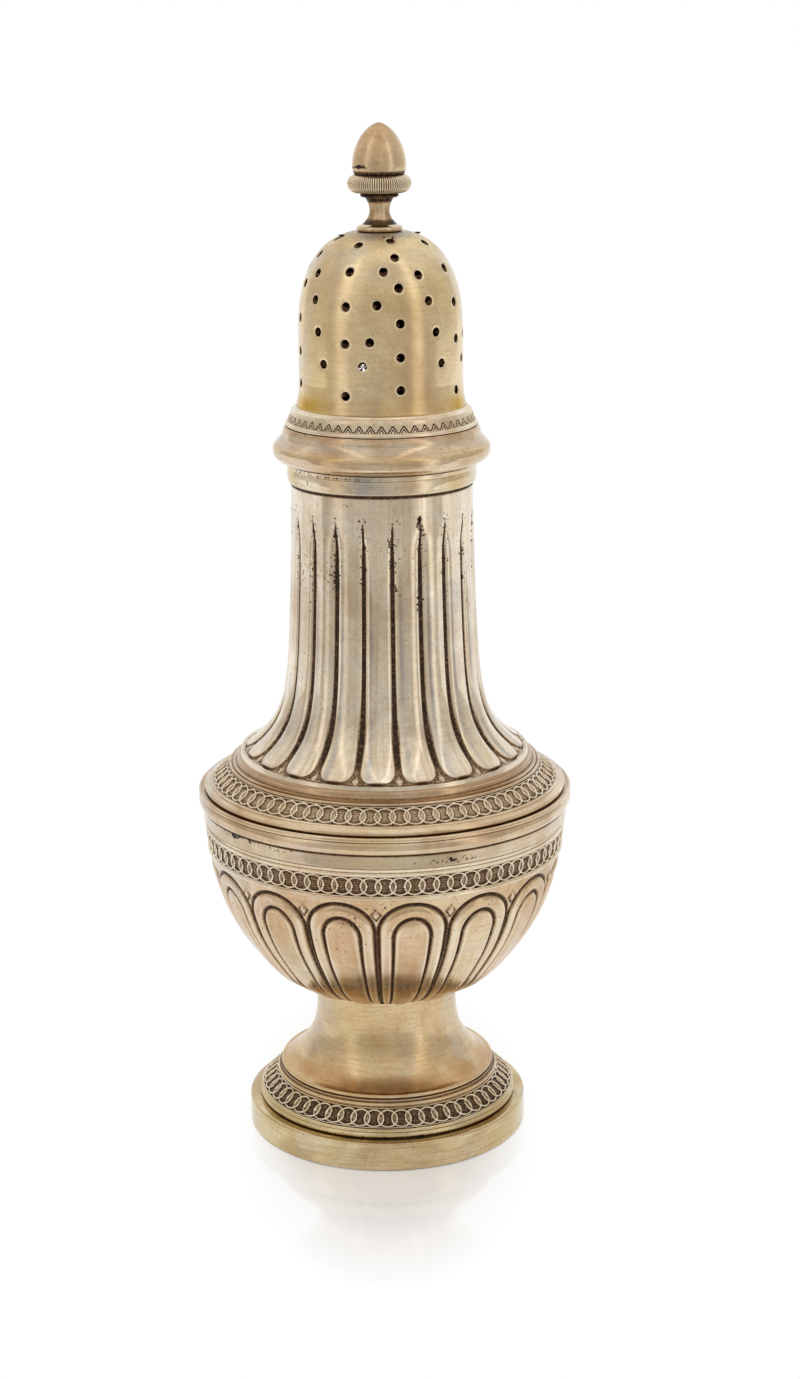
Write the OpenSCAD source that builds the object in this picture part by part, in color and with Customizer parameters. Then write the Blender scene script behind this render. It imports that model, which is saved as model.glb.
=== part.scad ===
// Sugar caster: a bowl-shaped body on a spreading foot, with a fluted neck
// and a pierced cover that lifts off.
// Millimetres, +Z up, origin in the middle of the foot's lowest face, front at -Y.

/* [Metal] */
// Thickness of the raised sheet
wall = 0.9; // [0.8:0.1:1.3]
// Thickness of an applied ornamental band
band_t = 0.9; // [0.7:0.1:1.2]
// Gap filled with solder under an applied band
solder_gap = 0.05; // [0.02:0.01:0.1]
// Clearance between the bezel and the mouth, on the radius
bezel_clearance = 0.08; // [0.04:0.01:0.1]

/* [Foot] */
// Radius of the plinth
foot_r = 29.5; // [29:0.5:34]
// Height of the plinth
plinth_h = 6.6; // [4:0.1:9]
// Thickness of the upright band of the plinth
plinth_wall = 1.8; // [1.2:0.1:2.4]
// Bevel on the edges of the plinth
plinth_bevel = 0.5; // [0.2:0.1:0.8]
// Height of the twin beads above the plinth
foot_beads_h = 2.3; // [2:0.1:4]
// Radius of the foot frieze at its lower edge
foot_frieze_low_r = 27; // [26.5:0.1:27.4]
// Radius of the foot frieze at its upper edge
foot_frieze_top_r = 23.9; // [23.6:0.1:24.5]
// Height of the foot frieze
foot_frieze_h = 3.3; // [2.8:0.1:4]
// Height of the foot above its frieze
stem_h = 18.8; // [17:0.2:26]
// Radius of the bead on the rim of the hollow foot
ridge_bead = 0.6; // [0.4:0.1:0.8]
// Radius of the foot under the bowl
stem_top_r = 14.5; // [12:0.5:17]
// How sharply the foot sweeps in: higher is sharper
stem_sweep = 2.7; // [2:0.1:3.5]

/* [Bowl] */
// Radius of the bowl at its widest
bowl_r = 37.6; // [36.8:0.2:40]
// Height from the foot to the widest level of the bowl
bowl_rise = 37; // [36:0.5:42]
// Height of the bowl below its frieze
bowl_h = 30.6; // [29:0.2:33]
// Number of double arches round the bowl
arch_n = 15; // [10:1:18]
// Direction of the middle of one arch, from the front
arch_turn = 8.9; // [0:0.1:26]
// Depth of the chased outlines of the arches
arch_depth = 0.45; // [0.2:0.05:0.6]
// Distance from the top of an arch to the frieze
arch_margin = 1.2; // [0.8:0.1:3]
// Height of the curved top of an arch
arch_crown = 6; // [2:0.1:7]
// Width of the inner panel as a share of the arch's pitch
panel_share = 0.46; // [0.3:0.01:0.6]
// Distance from the top of an arch to the top of its inner panel
panel_drop = 3.3; // [2:0.1:5]

/* [Rim] */
// How far the applied bands stand out from the wall behind them
band_stand = 1.2; // [1.1:0.05:1.5]
// Height of the bowl frieze with its edge beads
bowl_frieze_h = 6.7; // [6.2:0.1:8]
// Height of the plain band
body_band_h = 3.1; // [2:0.1:5]
// How far the plain band stands out from the wall
body_band_reach = 1.6; // [1.4:0.1:1.8]
// How far the rim moulding stands out from the wall
rim_reach = 2.4; // [2.1:0.1:3]
// Height of the rim moulding
rim_h = 3.7; // [3.4:0.1:5]
// Radius of the bead along the top of the rim moulding
rim_bead = 0.5; // [0.4:0.05:0.7]
// Radius of the curve of the roll below that bead
rim_roll = 1.9; // [1.6:0.1:2.1]

/* [Shoulder] */
// How far the shoulder's lower edge stands out from the wall
shoulder_lip = 0.5; // [0.3:0.1:0.7]
// Gap between the rim moulding and the shoulder's lower edge
shoulder_gap = 0.9; // [0.8:0.1:1.4]
// Height of the sloping shoulder
shoulder_rise = 7.2; // [6.8:0.1:9]
// Distance up the slope from its edge to the frieze
shoulder_frieze_at = 1.35; // [0.7:0.05:1.8]
// Radius of the bead at the lower edge
edge_bead = 0.6; // [0.4:0.1:0.7]
// Radius of the bead above the frieze
frieze_bead = 0.45; // [0.3:0.05:0.5]
// Radius of the ridge below the lobes
lobe_ridge = 0.7; // [0.4:0.1:0.8]
// Distance down the slope from the lobes to that ridge
lobe_ridge_at = 2.4; // [1.5:0.1:3]

/* [Neck] */
// Radius of the neck at the mouth
neck_r = 18.5; // [18.2:0.1:20]
// Height of the neck
neck_h = 55.6; // [48:0.1:64]
// How much the neck widens evenly from mouth to shoulder
neck_taper = 2; // [1:0.1:3]
// How much more the neck flares at the shoulder
neck_flare = 8.6; // [7.5:0.1:9]
// Height in which the flare dies away
flare_len = 5; // [4:0.1:6]
// Number of lobes round the neck
lobe_n = 20; // [14:1:24]
// Direction of the groove nearest the front
lobe_turn = 6; // [0:0.1:18]
// Depth of the grooves between the lobes
lobe_depth = 0.75; // [0.4:0.05:0.9]
// Width of a groove as a share of the lobe's pitch
groove_share = 0.17; // [0.08:0.01:0.25]
// Height of the smooth band above the grooves
smooth_h = 5.3; // [3:0.1:8]
// Distance from the lower ends of the lobes to the shoulder
lobe_margin = 0.4; // [0.2:0.1:1]
// Thickness of the neck at the mouth
mouth_wall = 1.45; // [1.2:0.05:1.7]

/* [Cover] */
// Length of the bezel below the seat of the cover
bezel_len = 11; // [6:0.5:16]
// Thickness of the bezel
bezel_wall = 0.8; // [0.6:0.1:1.1]
// Height of the skirt
skirt_h = 5.4; // [5:0.1:8]
// Largest radius of the skirt
skirt_r = 19.5; // [19.2:0.1:20.5]
// Radius of the roll round the foot of the skirt
skirt_roll = 1.5; // [1.2:0.1:1.7]
// Height of the flange
flange_h = 6.3; // [5.5:0.1:8]
// Radius of the flange
flange_r = 22; // [21.5:0.1:24]
// Radius of the flange's half-round section
flange_bead = 1.75; // [1.4:0.05:2]
// Height of the leaf-tip band
leaf_band_h = 4; // [3.6:0.1:5.5]
// Radius of the leaf-tip band at its foot
leaf_band_r = 19; // [18.6:0.1:19.6]
// Number of leaf tips
leaf_n = 53; // [30:1:60]

/* [Dome] */
// Radius of the dome
dome_r = 16.5; // [16.2:0.1:17]
// Height of the dome
dome_h = 34.3; // [33:0.1:40]
// Height of its straight side
dome_side_h = 13.5; // [12:0.5:16]
// Height of its crown, up to the point where it would close
dome_crown_h = 21.4; // [21:0.1:27]
// Fullness of the crown: 2 is an ellipse
dome_full = 2.6; // [2.2:0.1:3]
// Diameter of a sprinkling hole
hole_d = 1.7; // [1:0.1:2.2]
// Number of hole columns with a fan of holes beside them
fan_n = 4; // [3:1:5]
// Direction of one such column, from the front
fan_turn = 18; // [0:1:90]
// Spread of a fan at its foot, as a share of the angle between fans
fan_spread = 0.34; // [0.28:0.01:0.36]
// How far a fan's own column stands off the middle of the fan
column_turn = -4.4; // [-6:0.1:6]
// How far the column between fans stands off the middle between them
middle_turn = 2; // [-4:0.1:4]
// How far the line of holes on a fan's right stands off the mirror of its left
right_turn = -2; // [-4:0.1:4]

/* [Finial] */
// Radius of the disc under the finial
finial_base_r = 4.6; // [4.4:0.1:5.4]
// Height of that disc
finial_base_h = 1.5; // [1:0.1:2]
// Height of the waisted stem
finial_stem_h = 5.3; // [4:0.1:8]
// Radius of its waist
finial_waist_r = 2; // [1.8:0.1:2.6]
// Radius of the stem at its foot
finial_stem_r = 3.4; // [3:0.1:4]
// Radius of the stem under the cup
finial_stem_top_r = 2.9; // [2.7:0.1:3.6]
// Radius of the disc under the cup
cup_disc_r = 3.8; // [3.6:0.1:4.4]
// Height of the acorn's cup
cup_h = 4.5; // [3.5:0.1:6]
// Radius of the cup
cup_r = 6.3; // [5.9:0.1:7]
// Number of milled grooves on the cup
mill_n = 84; // [48:1:90]
// Depth of a milled groove
mill_depth = 0.17; // [0.1:0.01:0.2]
// Height of the acorn above its cup
acorn_h = 9.9; // [8:0.1:13]
// Radius of the acorn
acorn_r = 5.35; // [5:0.05:5.7]
// Pointedness of the acorn: 1 is round
acorn_point = 1.32; // [1:0.02:1.6]
// Radius of the stud through the finial
stud_r = 1; // [0.7:0.1:1.2]
// Radius of the nut inside the dome
nut_r = 2.4; // [2:0.1:3]
// Thickness of the nut
nut_h = 1.6; // [1.2:0.1:2.4]

/* [Guilloche] */
// Distance between neighbouring rings of a guilloche
ring_pitch = 2.93; // [2.8:0.01:3.1]
// Radius of a ring, to the middle of its wire
ring_r = 1.85; // [1.75:0.05:2.05]
// Width of a ring's wire
ring_wire = 0.35; // [0.3:0.05:0.5]
// Depth of the ground between the rings
pit_depth = 0.3; // [0.2:0.05:0.5]

/* [Hidden] */
$fn = 128;

front = -90;
silver = [0.75, 0.68, 0.55];
dark_silver = [0.58, 0.51, 0.40];
gilt_silver = [0.80, 0.71, 0.50];

// Levels, from the ground up
z_beads = plinth_h;
z_foot_frieze = z_beads + foot_beads_h;
z_stem = z_foot_frieze + foot_frieze_h;
z_ridge = z_stem + 2 * ridge_bead + 0.6;
z_bowl = z_stem + stem_h;
z_bowl_frieze = z_bowl + bowl_h;
z_body_band = z_bowl_frieze + bowl_frieze_h;
z_rim = z_body_band + body_band_h;
z_seam = z_rim + 0.6;
z_slope = z_rim + rim_h + shoulder_gap;
z_neck = z_slope + shoulder_rise;
z_tip = z_neck + neck_h - smooth_h;
z_seat = z_neck + neck_h;
z_flange = z_seat + skirt_h;
z_leaf = z_flange + flange_h;
z_dome = z_leaf + leaf_band_h;
z_crown = z_dome + dome_side_h;
z_finial = z_dome + dome_h;
z_finial_stem = z_finial + finial_base_h;
z_cup = z_finial_stem + finial_stem_h;
z_acorn = z_cup + cup_h;

// Heights of the holes as shares of the dome's height: the column of a fan,
// the column midway between fans, and the lines to the left and right of the
// fan's column, which were drilled by eye
fan_column = [0.146, 0.332, 0.525, 0.723, 0.886, 0.971];
middle_column = [0.111, 0.408, 0.618, 0.81, 0.95];
fan_left = [0.283, 0.42, 0.63, 0.812];
fan_right = [0.283, 0.464, 0.644, 0.79];

// Radii that follow from the fits
seat_r = bowl_r - band_stand;
shoulder_r = seat_r + shoulder_lip;
mouth_r = neck_r - mouth_wall;
bezel_r = mouth_r - bezel_clearance;
band_seat_r = seat_r + solder_gap;
stud_hole_r = stud_r + solder_gap;

// Rises and falls of the bowl, the neck, the foot and the dome
bowl_semi_h = bowl_rise / sqrt(1 - pow(stem_top_r / bowl_r, 2));
z_widest = z_bowl + bowl_rise;

function bowl_r_at(z) =
    bowl_r * sqrt(1 - pow((z_widest - z) / bowl_semi_h, 2));

function bowl_inside_r_at(z) =
    (seat_r - wall) * sqrt(1 - pow((z_widest - z) / (bowl_semi_h - wall), 2));

function neck_r_at(z) =
    let (h = z - z_neck - lobe_margin)
    neck_r + neck_taper * pow(max(0, 1 - h / neck_h), 1.5)
        + neck_flare * exp(-h / flare_len);

// A step square to the neck's wall, measured level
function neck_step(z, depth) =
    let (slope = (neck_r_at(z + 0.1) - neck_r_at(z - 0.1)) / 0.2)
    depth * sqrt(1 + slope * slope);

function neck_ground_r_at(z) = neck_r_at(z) - neck_step(z, lobe_depth);

function neck_inside_r_at(z) = neck_r_at(z) - neck_step(z, lobe_depth + wall);

function stem_r_at(z) =
    let (ridge_r = foot_frieze_top_r - 2 * ridge_bead - 0.4)
    let (t = min(1, (z - z_ridge) / (z_bowl - z_ridge)))
    stem_top_r + (ridge_r - stem_top_r) * pow(1 - t, stem_sweep);

function dome_r_at(z, r, h) =
    r * pow(1 - pow(max(0, z - z_crown) / h, dome_full), 1 / dome_full);

function levels(from, to, steps) =
    [for (i = [0 : steps]) from + (to - from) * i / steps];

function reversed(list) =
    [for (i = [len(list) - 1 : -1 : 0]) list[i]];

// A solid through closed rings of points, lowest ring first
module loft(rings) {
    n = len(rings[0]);
    last = len(rings) - 1;
    sides = [
        for (i = [0 : last - 1], j = [0 : n - 1])
            let (k = (j + 1) % n)
            each [
                [i * n + j, (i + 1) * n + j, (i + 1) * n + k],
                [i * n + j, (i + 1) * n + k, i * n + k]
            ]
    ];
    bottom = [for (j = [0 : n - 1]) j];
    top = [for (j = [n - 1 : -1 : 0]) last * n + j];
    polyhedron([for (ring = rings) each ring], concat(sides, [bottom, top]));
}

// Copies of a flat outline sunk into a band of radius r at level z,
// whose face looks up by the angle tilt
module sunk_round(count, r, z, tilt, depth) {
    for (i = [0 : count - 1])
        rotate(front + i * 360 / count)
            translate([r, 0, z])
                rotate([0, 90 - tilt, 0])
                    rotate(90)
                        translate([0, 0, -depth])
                            linear_extrude(3 * depth)
                                children();
}

// The ground seen through one ring of a guilloche: an hourglass inside
// the ring and a lens where it crosses the next ring
module guilloche_ground(pitch) {
    hole = ring_r - ring_wire / 2;
    difference() {
        circle(hole);
        for (side = [-1, 1])
            translate([side * pitch, 0])
                circle(ring_r + ring_wire / 2);
    }
    translate([pitch / 2, 0])
        intersection() {
            translate([-pitch / 2, 0])
                circle(hole);
            translate([pitch / 2, 0])
                circle(hole);
        }
}

module guilloche(r, z, tilt) {
    count = round(2 * PI * r / ring_pitch);
    sunk_round(count, r, z, tilt, pit_depth)
        guilloche_ground(2 * PI * r / count);
}

// Foot
module foot_plinth() {
    ledge_r = foot_frieze_low_r - wall;
    color(silver)
        rotate_extrude()
            polygon([
                [foot_r - plinth_wall, 0],
                [foot_r - plinth_bevel, 0],
                [foot_r, plinth_bevel],
                [foot_r, plinth_h - plinth_bevel],
                [foot_r - plinth_bevel, plinth_h],
                [ledge_r, plinth_h],
                [ledge_r, plinth_h - wall],
                [foot_r - plinth_wall, plinth_h - wall]
            ]);
}

module foot_beads() {
    core_r = foot_frieze_low_r - wall;
    bead = foot_beads_h * 0.22;
    color(silver)
        rotate_extrude() {
            translate([core_r, z_beads])
                square([wall + 0.2, foot_beads_h]);
            translate([core_r + wall + 0.25, z_beads + 1.5 * bead])
                circle(bead);
            translate([core_r + wall, z_beads + 3.45 * bead])
                circle(bead * 0.9);
        }
}

module foot_frieze() {
    drop = foot_frieze_low_r - foot_frieze_top_r;
    tilt = atan2(drop, foot_frieze_h);
    color(dark_silver)
        difference() {
            rotate_extrude()
                polygon([
                    [foot_frieze_low_r - wall, z_foot_frieze],
                    [foot_frieze_low_r, z_foot_frieze],
                    [foot_frieze_top_r, z_stem],
                    [foot_frieze_top_r - wall, z_stem]
                ]);
            guilloche(
                (foot_frieze_low_r + foot_frieze_top_r) / 2,
                (z_foot_frieze + z_stem) / 2,
                tilt
            );
        }
}

module foot_stem() {
    outside = levels(z_ridge, z_bowl, 16);
    inside = levels(z_ridge, z_bowl, 12);
    foot_inside_r = foot_frieze_top_r - wall;
    color(silver)
        rotate_extrude() {
            polygon(concat(
                [
                    [foot_inside_r, z_stem],
                    [foot_frieze_top_r - 0.3, z_stem],
                    [foot_frieze_top_r - 2 * ridge_bead, z_stem + 0.6]
                ],
                [for (z = outside) [stem_r_at(z), z]],
                [for (z = reversed(inside))
                    [stem_r_at(z + wall) - wall * 0.7, z]]
            ));
            translate([foot_frieze_top_r - 2 * ridge_bead, z_stem + 0.6 + ridge_bead])
                circle(ridge_bead);
        }
}

// Bowl. Across one arch: spandrel, outline, frame, inner outline and panel
function arch_round(z, top, crown) =
    let (u = min(1, max(0, (top - z) / crown)))
    max(0.16, sqrt(1 - pow(1 - u, 2)));

function arch_ring(z) =
    let (frame_top = z_bowl_frieze - arch_margin)
    let (panel_top = frame_top - panel_drop)
    let (frame = arch_round(z, frame_top, arch_crown))
    let (panel = arch_round(z, panel_top, 0.75 * arch_crown))
    let (frame_cut = z < frame_top ? arch_depth : 0)
    let (panel_cut = z < panel_top ? arch_depth : 0)
    let (outline = 0.97 * frame)
    let (frame_edge = 0.91 * frame)
    let (gap = panel_share * panel + 0.08)
    let (frame_foot = min(gap + 0.06, frame_edge - 0.02))
    let (panel_edge = panel_share * panel)
    let (spandrel_cut = frame > 0.95 ? arch_depth : 0)
    let (half = [
        [0, 0],
        [panel_edge, 0.3 * panel_cut],
        [min(gap, frame_foot - 0.02), panel_cut],
        [frame_foot, 0.2 * panel_cut],
        [frame_edge, 0.2 * frame_cut],
        [outline, frame_cut]
    ])
    let (across = concat(
        [[-1, spandrel_cut]],
        [for (i = [len(half) - 1 : -1 : 1]) [-half[i][0], half[i][1]]],
        half
    ))
    [
        for (i = [0 : arch_n - 1], point = across)
            let (a = front + arch_turn + (i + point[0] / 2) * 360 / arch_n)
            let (r = bowl_r_at(z) - point[1])
            [r * cos(a), r * sin(a), z]
    ];

module bowl() {
    rows = 18;
    inside = levels(z_bowl + wall, z_bowl_frieze, 14);
    color(silver)
        difference() {
            union() {
                loft([
                    for (i = [0 : rows])
                        arch_ring(z_bowl + bowl_h * (1 - pow(1 - i / rows, 1.6)))
                ]);
                translate([0, 0, z_bowl_frieze - 2 * wall])
                    cylinder(r = seat_r, h = z_seam - z_bowl_frieze + 2 * wall);
            }
            rotate_extrude()
                polygon(concat(
                    [[0, z_bowl + wall]],
                    [for (z = inside) [bowl_inside_r_at(z), z]],
                    [[seat_r - wall, z_widest], [seat_r - wall, z_seam + 1], [0, z_seam + 1]]
                ));
        }
}

module bowl_frieze() {
    bead = 0.45;
    field_h = 2 * (ring_r + ring_wire);
    low_r = max(bowl_r_at(z_bowl_frieze), band_seat_r + wall / 2);
    top_r = bowl_r;
    field_z = z_bowl_frieze + 2 * bead;
    color(dark_silver)
        difference() {
            rotate_extrude() {
                polygon([
                    [band_seat_r, z_bowl_frieze],
                    [low_r - 0.2, z_bowl_frieze],
                    [low_r, field_z],
                    [top_r, field_z + field_h],
                    [top_r, z_body_band],
                    [band_seat_r, z_body_band]
                ]);
                translate([low_r - 0.2, z_bowl_frieze + bead])
                    circle(bead);
                translate([top_r - 0.2, z_body_band - bead])
                    circle(bead);
            }
            guilloche(
                (low_r + top_r) / 2,
                field_z + field_h / 2,
                -atan2(top_r - low_r, field_h)
            );
        }
}

module body_band() {
    band_r = seat_r + body_band_reach;
    color(gilt_silver)
        rotate_extrude()
            polygon([
                [band_seat_r, z_body_band],
                [band_r - 0.3, z_body_band],
                [band_r - 0.1, z_body_band + 0.3],
                [band_r, z_rim],
                [band_seat_r, z_rim]
            ]);
}

module rim_moulding() {
    rim_r = seat_r + rim_reach;
    bead_z = z_rim + rim_h - rim_bead;
    roll_z = z_rim + rim_h / 2 - rim_bead + 0.15;
    color(silver)
        rotate_extrude()
            intersection() {
                union() {
                    polygon([
                        [band_seat_r, z_rim],
                        [rim_r - 0.65, z_rim],
                        [rim_r - 0.5, z_rim + 0.3],
                        [rim_r - 0.5, bead_z],
                        [rim_r - rim_bead, z_rim + rim_h],
                        [band_seat_r, z_rim + rim_h]
                    ]);
                    translate([rim_r - rim_bead, bead_z])
                        circle(rim_bead);
                    translate([rim_r - rim_roll, roll_z])
                        circle(rim_roll);
                }
                translate([band_seat_r, z_rim])
                    square([2 * rim_reach, rim_h]);
            }
}

// Shoulder: x runs up the slope from its lower edge, y outwards from it
neck_foot_r = neck_ground_r_at(z_neck);
slope_angle = atan2(shoulder_rise, shoulder_r - neck_foot_r);
slope_len = norm([shoulder_rise, shoulder_r - neck_foot_r]);
shoulder_frieze_w = 2 * (ring_r + ring_wire);

module on_slope() {
    translate([shoulder_r, z_slope])
        mirror([1, 0])
            rotate(slope_angle)
                children();
}

module shoulder() {
    plate = band_t + wall;
    bead_at = shoulder_frieze_at + shoulder_frieze_w + 2 * frieze_bead;
    ridge_at = slope_len - lobe_ridge_at;
    color(silver)
        rotate_extrude()
            difference() {
                intersection() {
                    union() {
                        translate([seat_r - wall, z_seam])
                            square([wall, z_slope - z_seam]);
                        translate([shoulder_r - edge_bead, z_slope])
                            circle(edge_bead);
                        on_slope() {
                            translate([0, -plate])
                                square([slope_len + plate, plate]);
                            translate([bead_at, 0])
                                circle(frieze_bead);
                            translate([ridge_at, -lobe_ridge / 2])
                                circle(lobe_ridge);
                        }
                    }
                    translate([0, z_seam])
                        square([2 * shoulder_r, z_neck - z_seam]);
                }
                on_slope()
                    translate([shoulder_frieze_at, -band_t - solder_gap])
                        square([shoulder_frieze_w + 2 * solder_gap, plate]);
            }
}

module shoulder_frieze() {
    middle = shoulder_frieze_at + solder_gap + shoulder_frieze_w / 2;
    color(dark_silver)
        difference() {
            rotate_extrude()
                on_slope()
                    translate([shoulder_frieze_at + solder_gap, -band_t])
                        square([shoulder_frieze_w, band_t]);
            guilloche(
                shoulder_r - middle * cos(slope_angle),
                z_slope + middle * sin(slope_angle),
                90 - slope_angle
            );
        }
}

// Neck. Across one lobe: groove floor, edge and crown
function lobe_ring(z) =
    let (h = z - z_neck - lobe_margin)
    let (round_h = 2.6)
    let (end = h >= round_h ? 1 : sqrt(max(0.04, 1 - pow(1 - h / round_h, 2))))
    let (below_tip = min(1, max(0, (z_tip - z) / 12)))
    let (fade = min(1, max(0, (z_tip - z) / 4)))
    let (depth = h <= 0 ? lobe_depth : lobe_depth * fade)
    let (rise = h <= 0 ? 0 : 1)
    let (edge = (1 - groove_share * (0.2 + 0.8 * below_tip)) * end)
    let (foot = edge + 0.6 * groove_share * (0.2 + 0.8 * below_tip))
    let (half = [
        [0, depth * (1 - rise)],
        [0.5 * edge, depth * (1 - 0.88 * rise)],
        [edge, depth * (1 - 0.45 * rise)],
        [foot, depth]
    ])
    let (across = concat(
        [for (i = [len(half) - 1 : -1 : 1]) [-half[i][0], half[i][1]]],
        half
    ))
    [
        for (i = [0 : lobe_n - 1], point = across)
            let (a = front + lobe_turn + (i + 0.5 + point[0] / 2) * 360 / lobe_n)
            let (r = neck_r_at(z) - neck_step(z, point[1]))
            [r * cos(a), r * sin(a), z]
    ];

module neck() {
    rows = 20;
    bore_z = z_seat - bezel_len - wall;
    inside = [for (s = levels(0, 1, 12)) z_neck + (bore_z - z_neck) * s * s];
    color(silver)
        difference() {
            loft([
                for (i = [0 : rows])
                    lobe_ring(z_neck + neck_h * pow(i / rows, 1.7))
            ]);
            rotate_extrude()
                polygon(concat(
                    [[0, z_neck - 1], [neck_inside_r_at(z_neck), z_neck - 1]],
                    [for (z = inside) [neck_inside_r_at(z), z]],
                    [[0, bore_z]]
                ));
            translate([0, 0, bore_z])
                cylinder(r = mouth_r, h = bezel_len + 2 * wall);
        }
}

// Cover
module cover_bezel() {
    color(silver)
        translate([0, 0, z_seat - bezel_len])
            difference() {
                cylinder(r = bezel_r, h = bezel_len + skirt_h);
                translate([0, 0, -1])
                    cylinder(r = bezel_r - bezel_wall, h = bezel_len + skirt_h + 2);
            }
}

module cover_skirt() {
    inner_r = bezel_r + solder_gap;
    roll_z = z_seat + 0.2 + skirt_roll;
    roll_top = roll_z + skirt_roll;
    color(silver)
        rotate_extrude()
            intersection() {
                union() {
                    translate([inner_r, z_seat])
                        square([neck_r + 0.1 - inner_r, skirt_h]);
                    translate([skirt_r - skirt_roll, roll_z])
                        circle(skirt_roll);
                    translate([inner_r, roll_top])
                        square([skirt_r - 0.25 - inner_r, z_flange - roll_top]);
                }
                translate([inner_r, z_seat])
                    square([skirt_r, skirt_h]);
            }
}

module cover_flange() {
    inner_r = bezel_r - bezel_wall;
    bead_r = flange_r - flange_bead;
    bead_z = z_flange + flange_bead + 0.7;
    hollow = 0.5 * flange_bead;
    color(silver)
        rotate_extrude()
            difference() {
                union() {
                    polygon([
                        [inner_r, z_flange],
                        [flange_r - 0.3, z_flange],
                        [flange_r - 0.1, bead_z],
                        [bead_r + 0.7, bead_z + flange_bead - 0.2],
                        [leaf_band_r + 1, z_leaf - 1.3],
                        [leaf_band_r + 0.5, z_leaf],
                        [inner_r, z_leaf]
                    ]);
                    translate([bead_r, bead_z])
                        circle(flange_bead);
                }
                translate([flange_r + 0.2, z_flange])
                    circle(2 * hollow);
            }
}

module leaf_tip(half_w, h) {
    groove = 0.28;
    polygon([
        [-half_w, 0],
        [0, h],
        [half_w, 0],
        [half_w - groove, 0],
        [0, h - 1.7 * groove],
        [groove - half_w, 0]
    ]);
}

module cover_frieze() {
    inner_r = bezel_r - bezel_wall;
    bead = 0.45;
    top_r = leaf_band_r - 0.8;
    field_z = z_leaf + 2 * bead;
    field_h = leaf_band_h - 4 * bead;
    tilt = atan2(leaf_band_r - top_r, field_h);
    half_w = 0.42 * 2 * PI * leaf_band_r / leaf_n;
    color(dark_silver)
        difference() {
            rotate_extrude() {
                polygon([
                    [inner_r, z_leaf],
                    [leaf_band_r, z_leaf],
                    [leaf_band_r, field_z],
                    [top_r, field_z + field_h],
                    [dome_r + wall, z_dome],
                    [inner_r, z_dome]
                ]);
                translate([leaf_band_r, z_leaf + bead])
                    circle(bead);
            }
            sunk_round(leaf_n, leaf_band_r - 0.1, field_z + 0.15, tilt, 0.2)
                leaf_tip(half_w, 0.6 * field_h);
        }
}

// Dome: one fan of holes is a column, a line of holes spreading on each side
// of it, and a shorter column midway to the next fan
module dome_hole(angle, h) {
    low = min(h, dome_side_h);
    climb = atan2(h - low, dome_r_at(z_dome + h, dome_r, dome_crown_h));
    rotate(front + fan_turn + angle)
        translate([0, 0, z_dome + low])
            rotate([0, 90 - climb, 0])
                translate([0, 0, dome_r - 3 * wall])
                    cylinder(d = hole_d, h = dome_crown_h);
}

module fan_holes() {
    sector = 360 / fan_n;
    for (share = fan_column)
        dome_hole(column_turn, share * dome_h);
    for (share = middle_column)
        dome_hole(sector / 2 + middle_turn, share * dome_h);
    for (i = [0 : len(fan_left) - 1]) {
        spread = sector * (fan_spread - i * fan_spread / 6);
        dome_hole(-spread, fan_left[i] * dome_h);
        dome_hole(spread + right_turn, fan_right[i] * dome_h);
    }
}

module dome() {
    outside = levels(z_crown, z_finial, 14);
    inside_h = dome_crown_h - wall;
    inside = levels(z_crown, z_finial - wall, 12);
    color(gilt_silver)
        difference() {
            rotate_extrude()
                polygon(concat(
                    [
                        [dome_r - wall, z_dome],
                        [dome_r + 0.7, z_dome],
                        [dome_r + 0.2, z_dome + 2],
                        [dome_r, z_dome + 5]
                    ],
                    [for (z = outside) [dome_r_at(z, dome_r, dome_crown_h), z]],
                    [[stud_hole_r, z_finial], [stud_hole_r, z_finial - wall]],
                    [for (z = reversed(inside)) [dome_r_at(z, dome_r - wall, inside_h), z]]
                ));
            for (i = [0 : fan_n - 1])
                rotate(i * 360 / fan_n)
                    fan_holes();
        }
}

// Finial
module finial_base() {
    edge = finial_base_h / 2;
    color(silver)
        rotate_extrude() {
            translate([stud_hole_r, z_finial])
                square([finial_base_r - edge - stud_hole_r, finial_base_h]);
            translate([finial_base_r - edge, z_finial + edge])
                circle(edge);
        }
}

module finial_stem() {
    steps = levels(-1, 1, 12);
    color(silver)
        rotate_extrude()
            polygon(concat(
                [[stud_hole_r, z_cup], [stud_hole_r, z_finial_stem]],
                [for (s = steps)
                    let (end_r = s < 0 ? finial_stem_r : finial_stem_top_r)
                    [
                        finial_waist_r + (end_r - finial_waist_r) * s * s,
                        z_finial_stem + finial_stem_h * (s + 1) / 2
                    ]]
            ));
}

module finial_cup() {
    disc_h = 0.7;
    belly_low = z_cup + disc_h + 0.4;
    round_r = (z_acorn - belly_low) / 2;
    milled = mill_depth * sqrt(2);
    color(silver)
        difference() {
            rotate_extrude() {
                translate([stud_hole_r, z_cup])
                    square([cup_disc_r - stud_hole_r, disc_h]);
                translate([stud_hole_r, z_cup])
                    square([cup_disc_r - 0.5 - stud_hole_r, cup_h]);
                translate([stud_hole_r, belly_low])
                    square([cup_r - round_r - stud_hole_r, z_acorn - belly_low]);
                translate([cup_r - round_r, belly_low + round_r])
                    circle(round_r);
            }
            for (i = [0 : mill_n - 1])
                rotate(i * 360 / mill_n)
                    translate([cup_r, 0, z_cup + cup_h / 2])
                        rotate(45)
                            cube([milled, milled, 2 * cup_h], center = true);
        }
}

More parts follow.
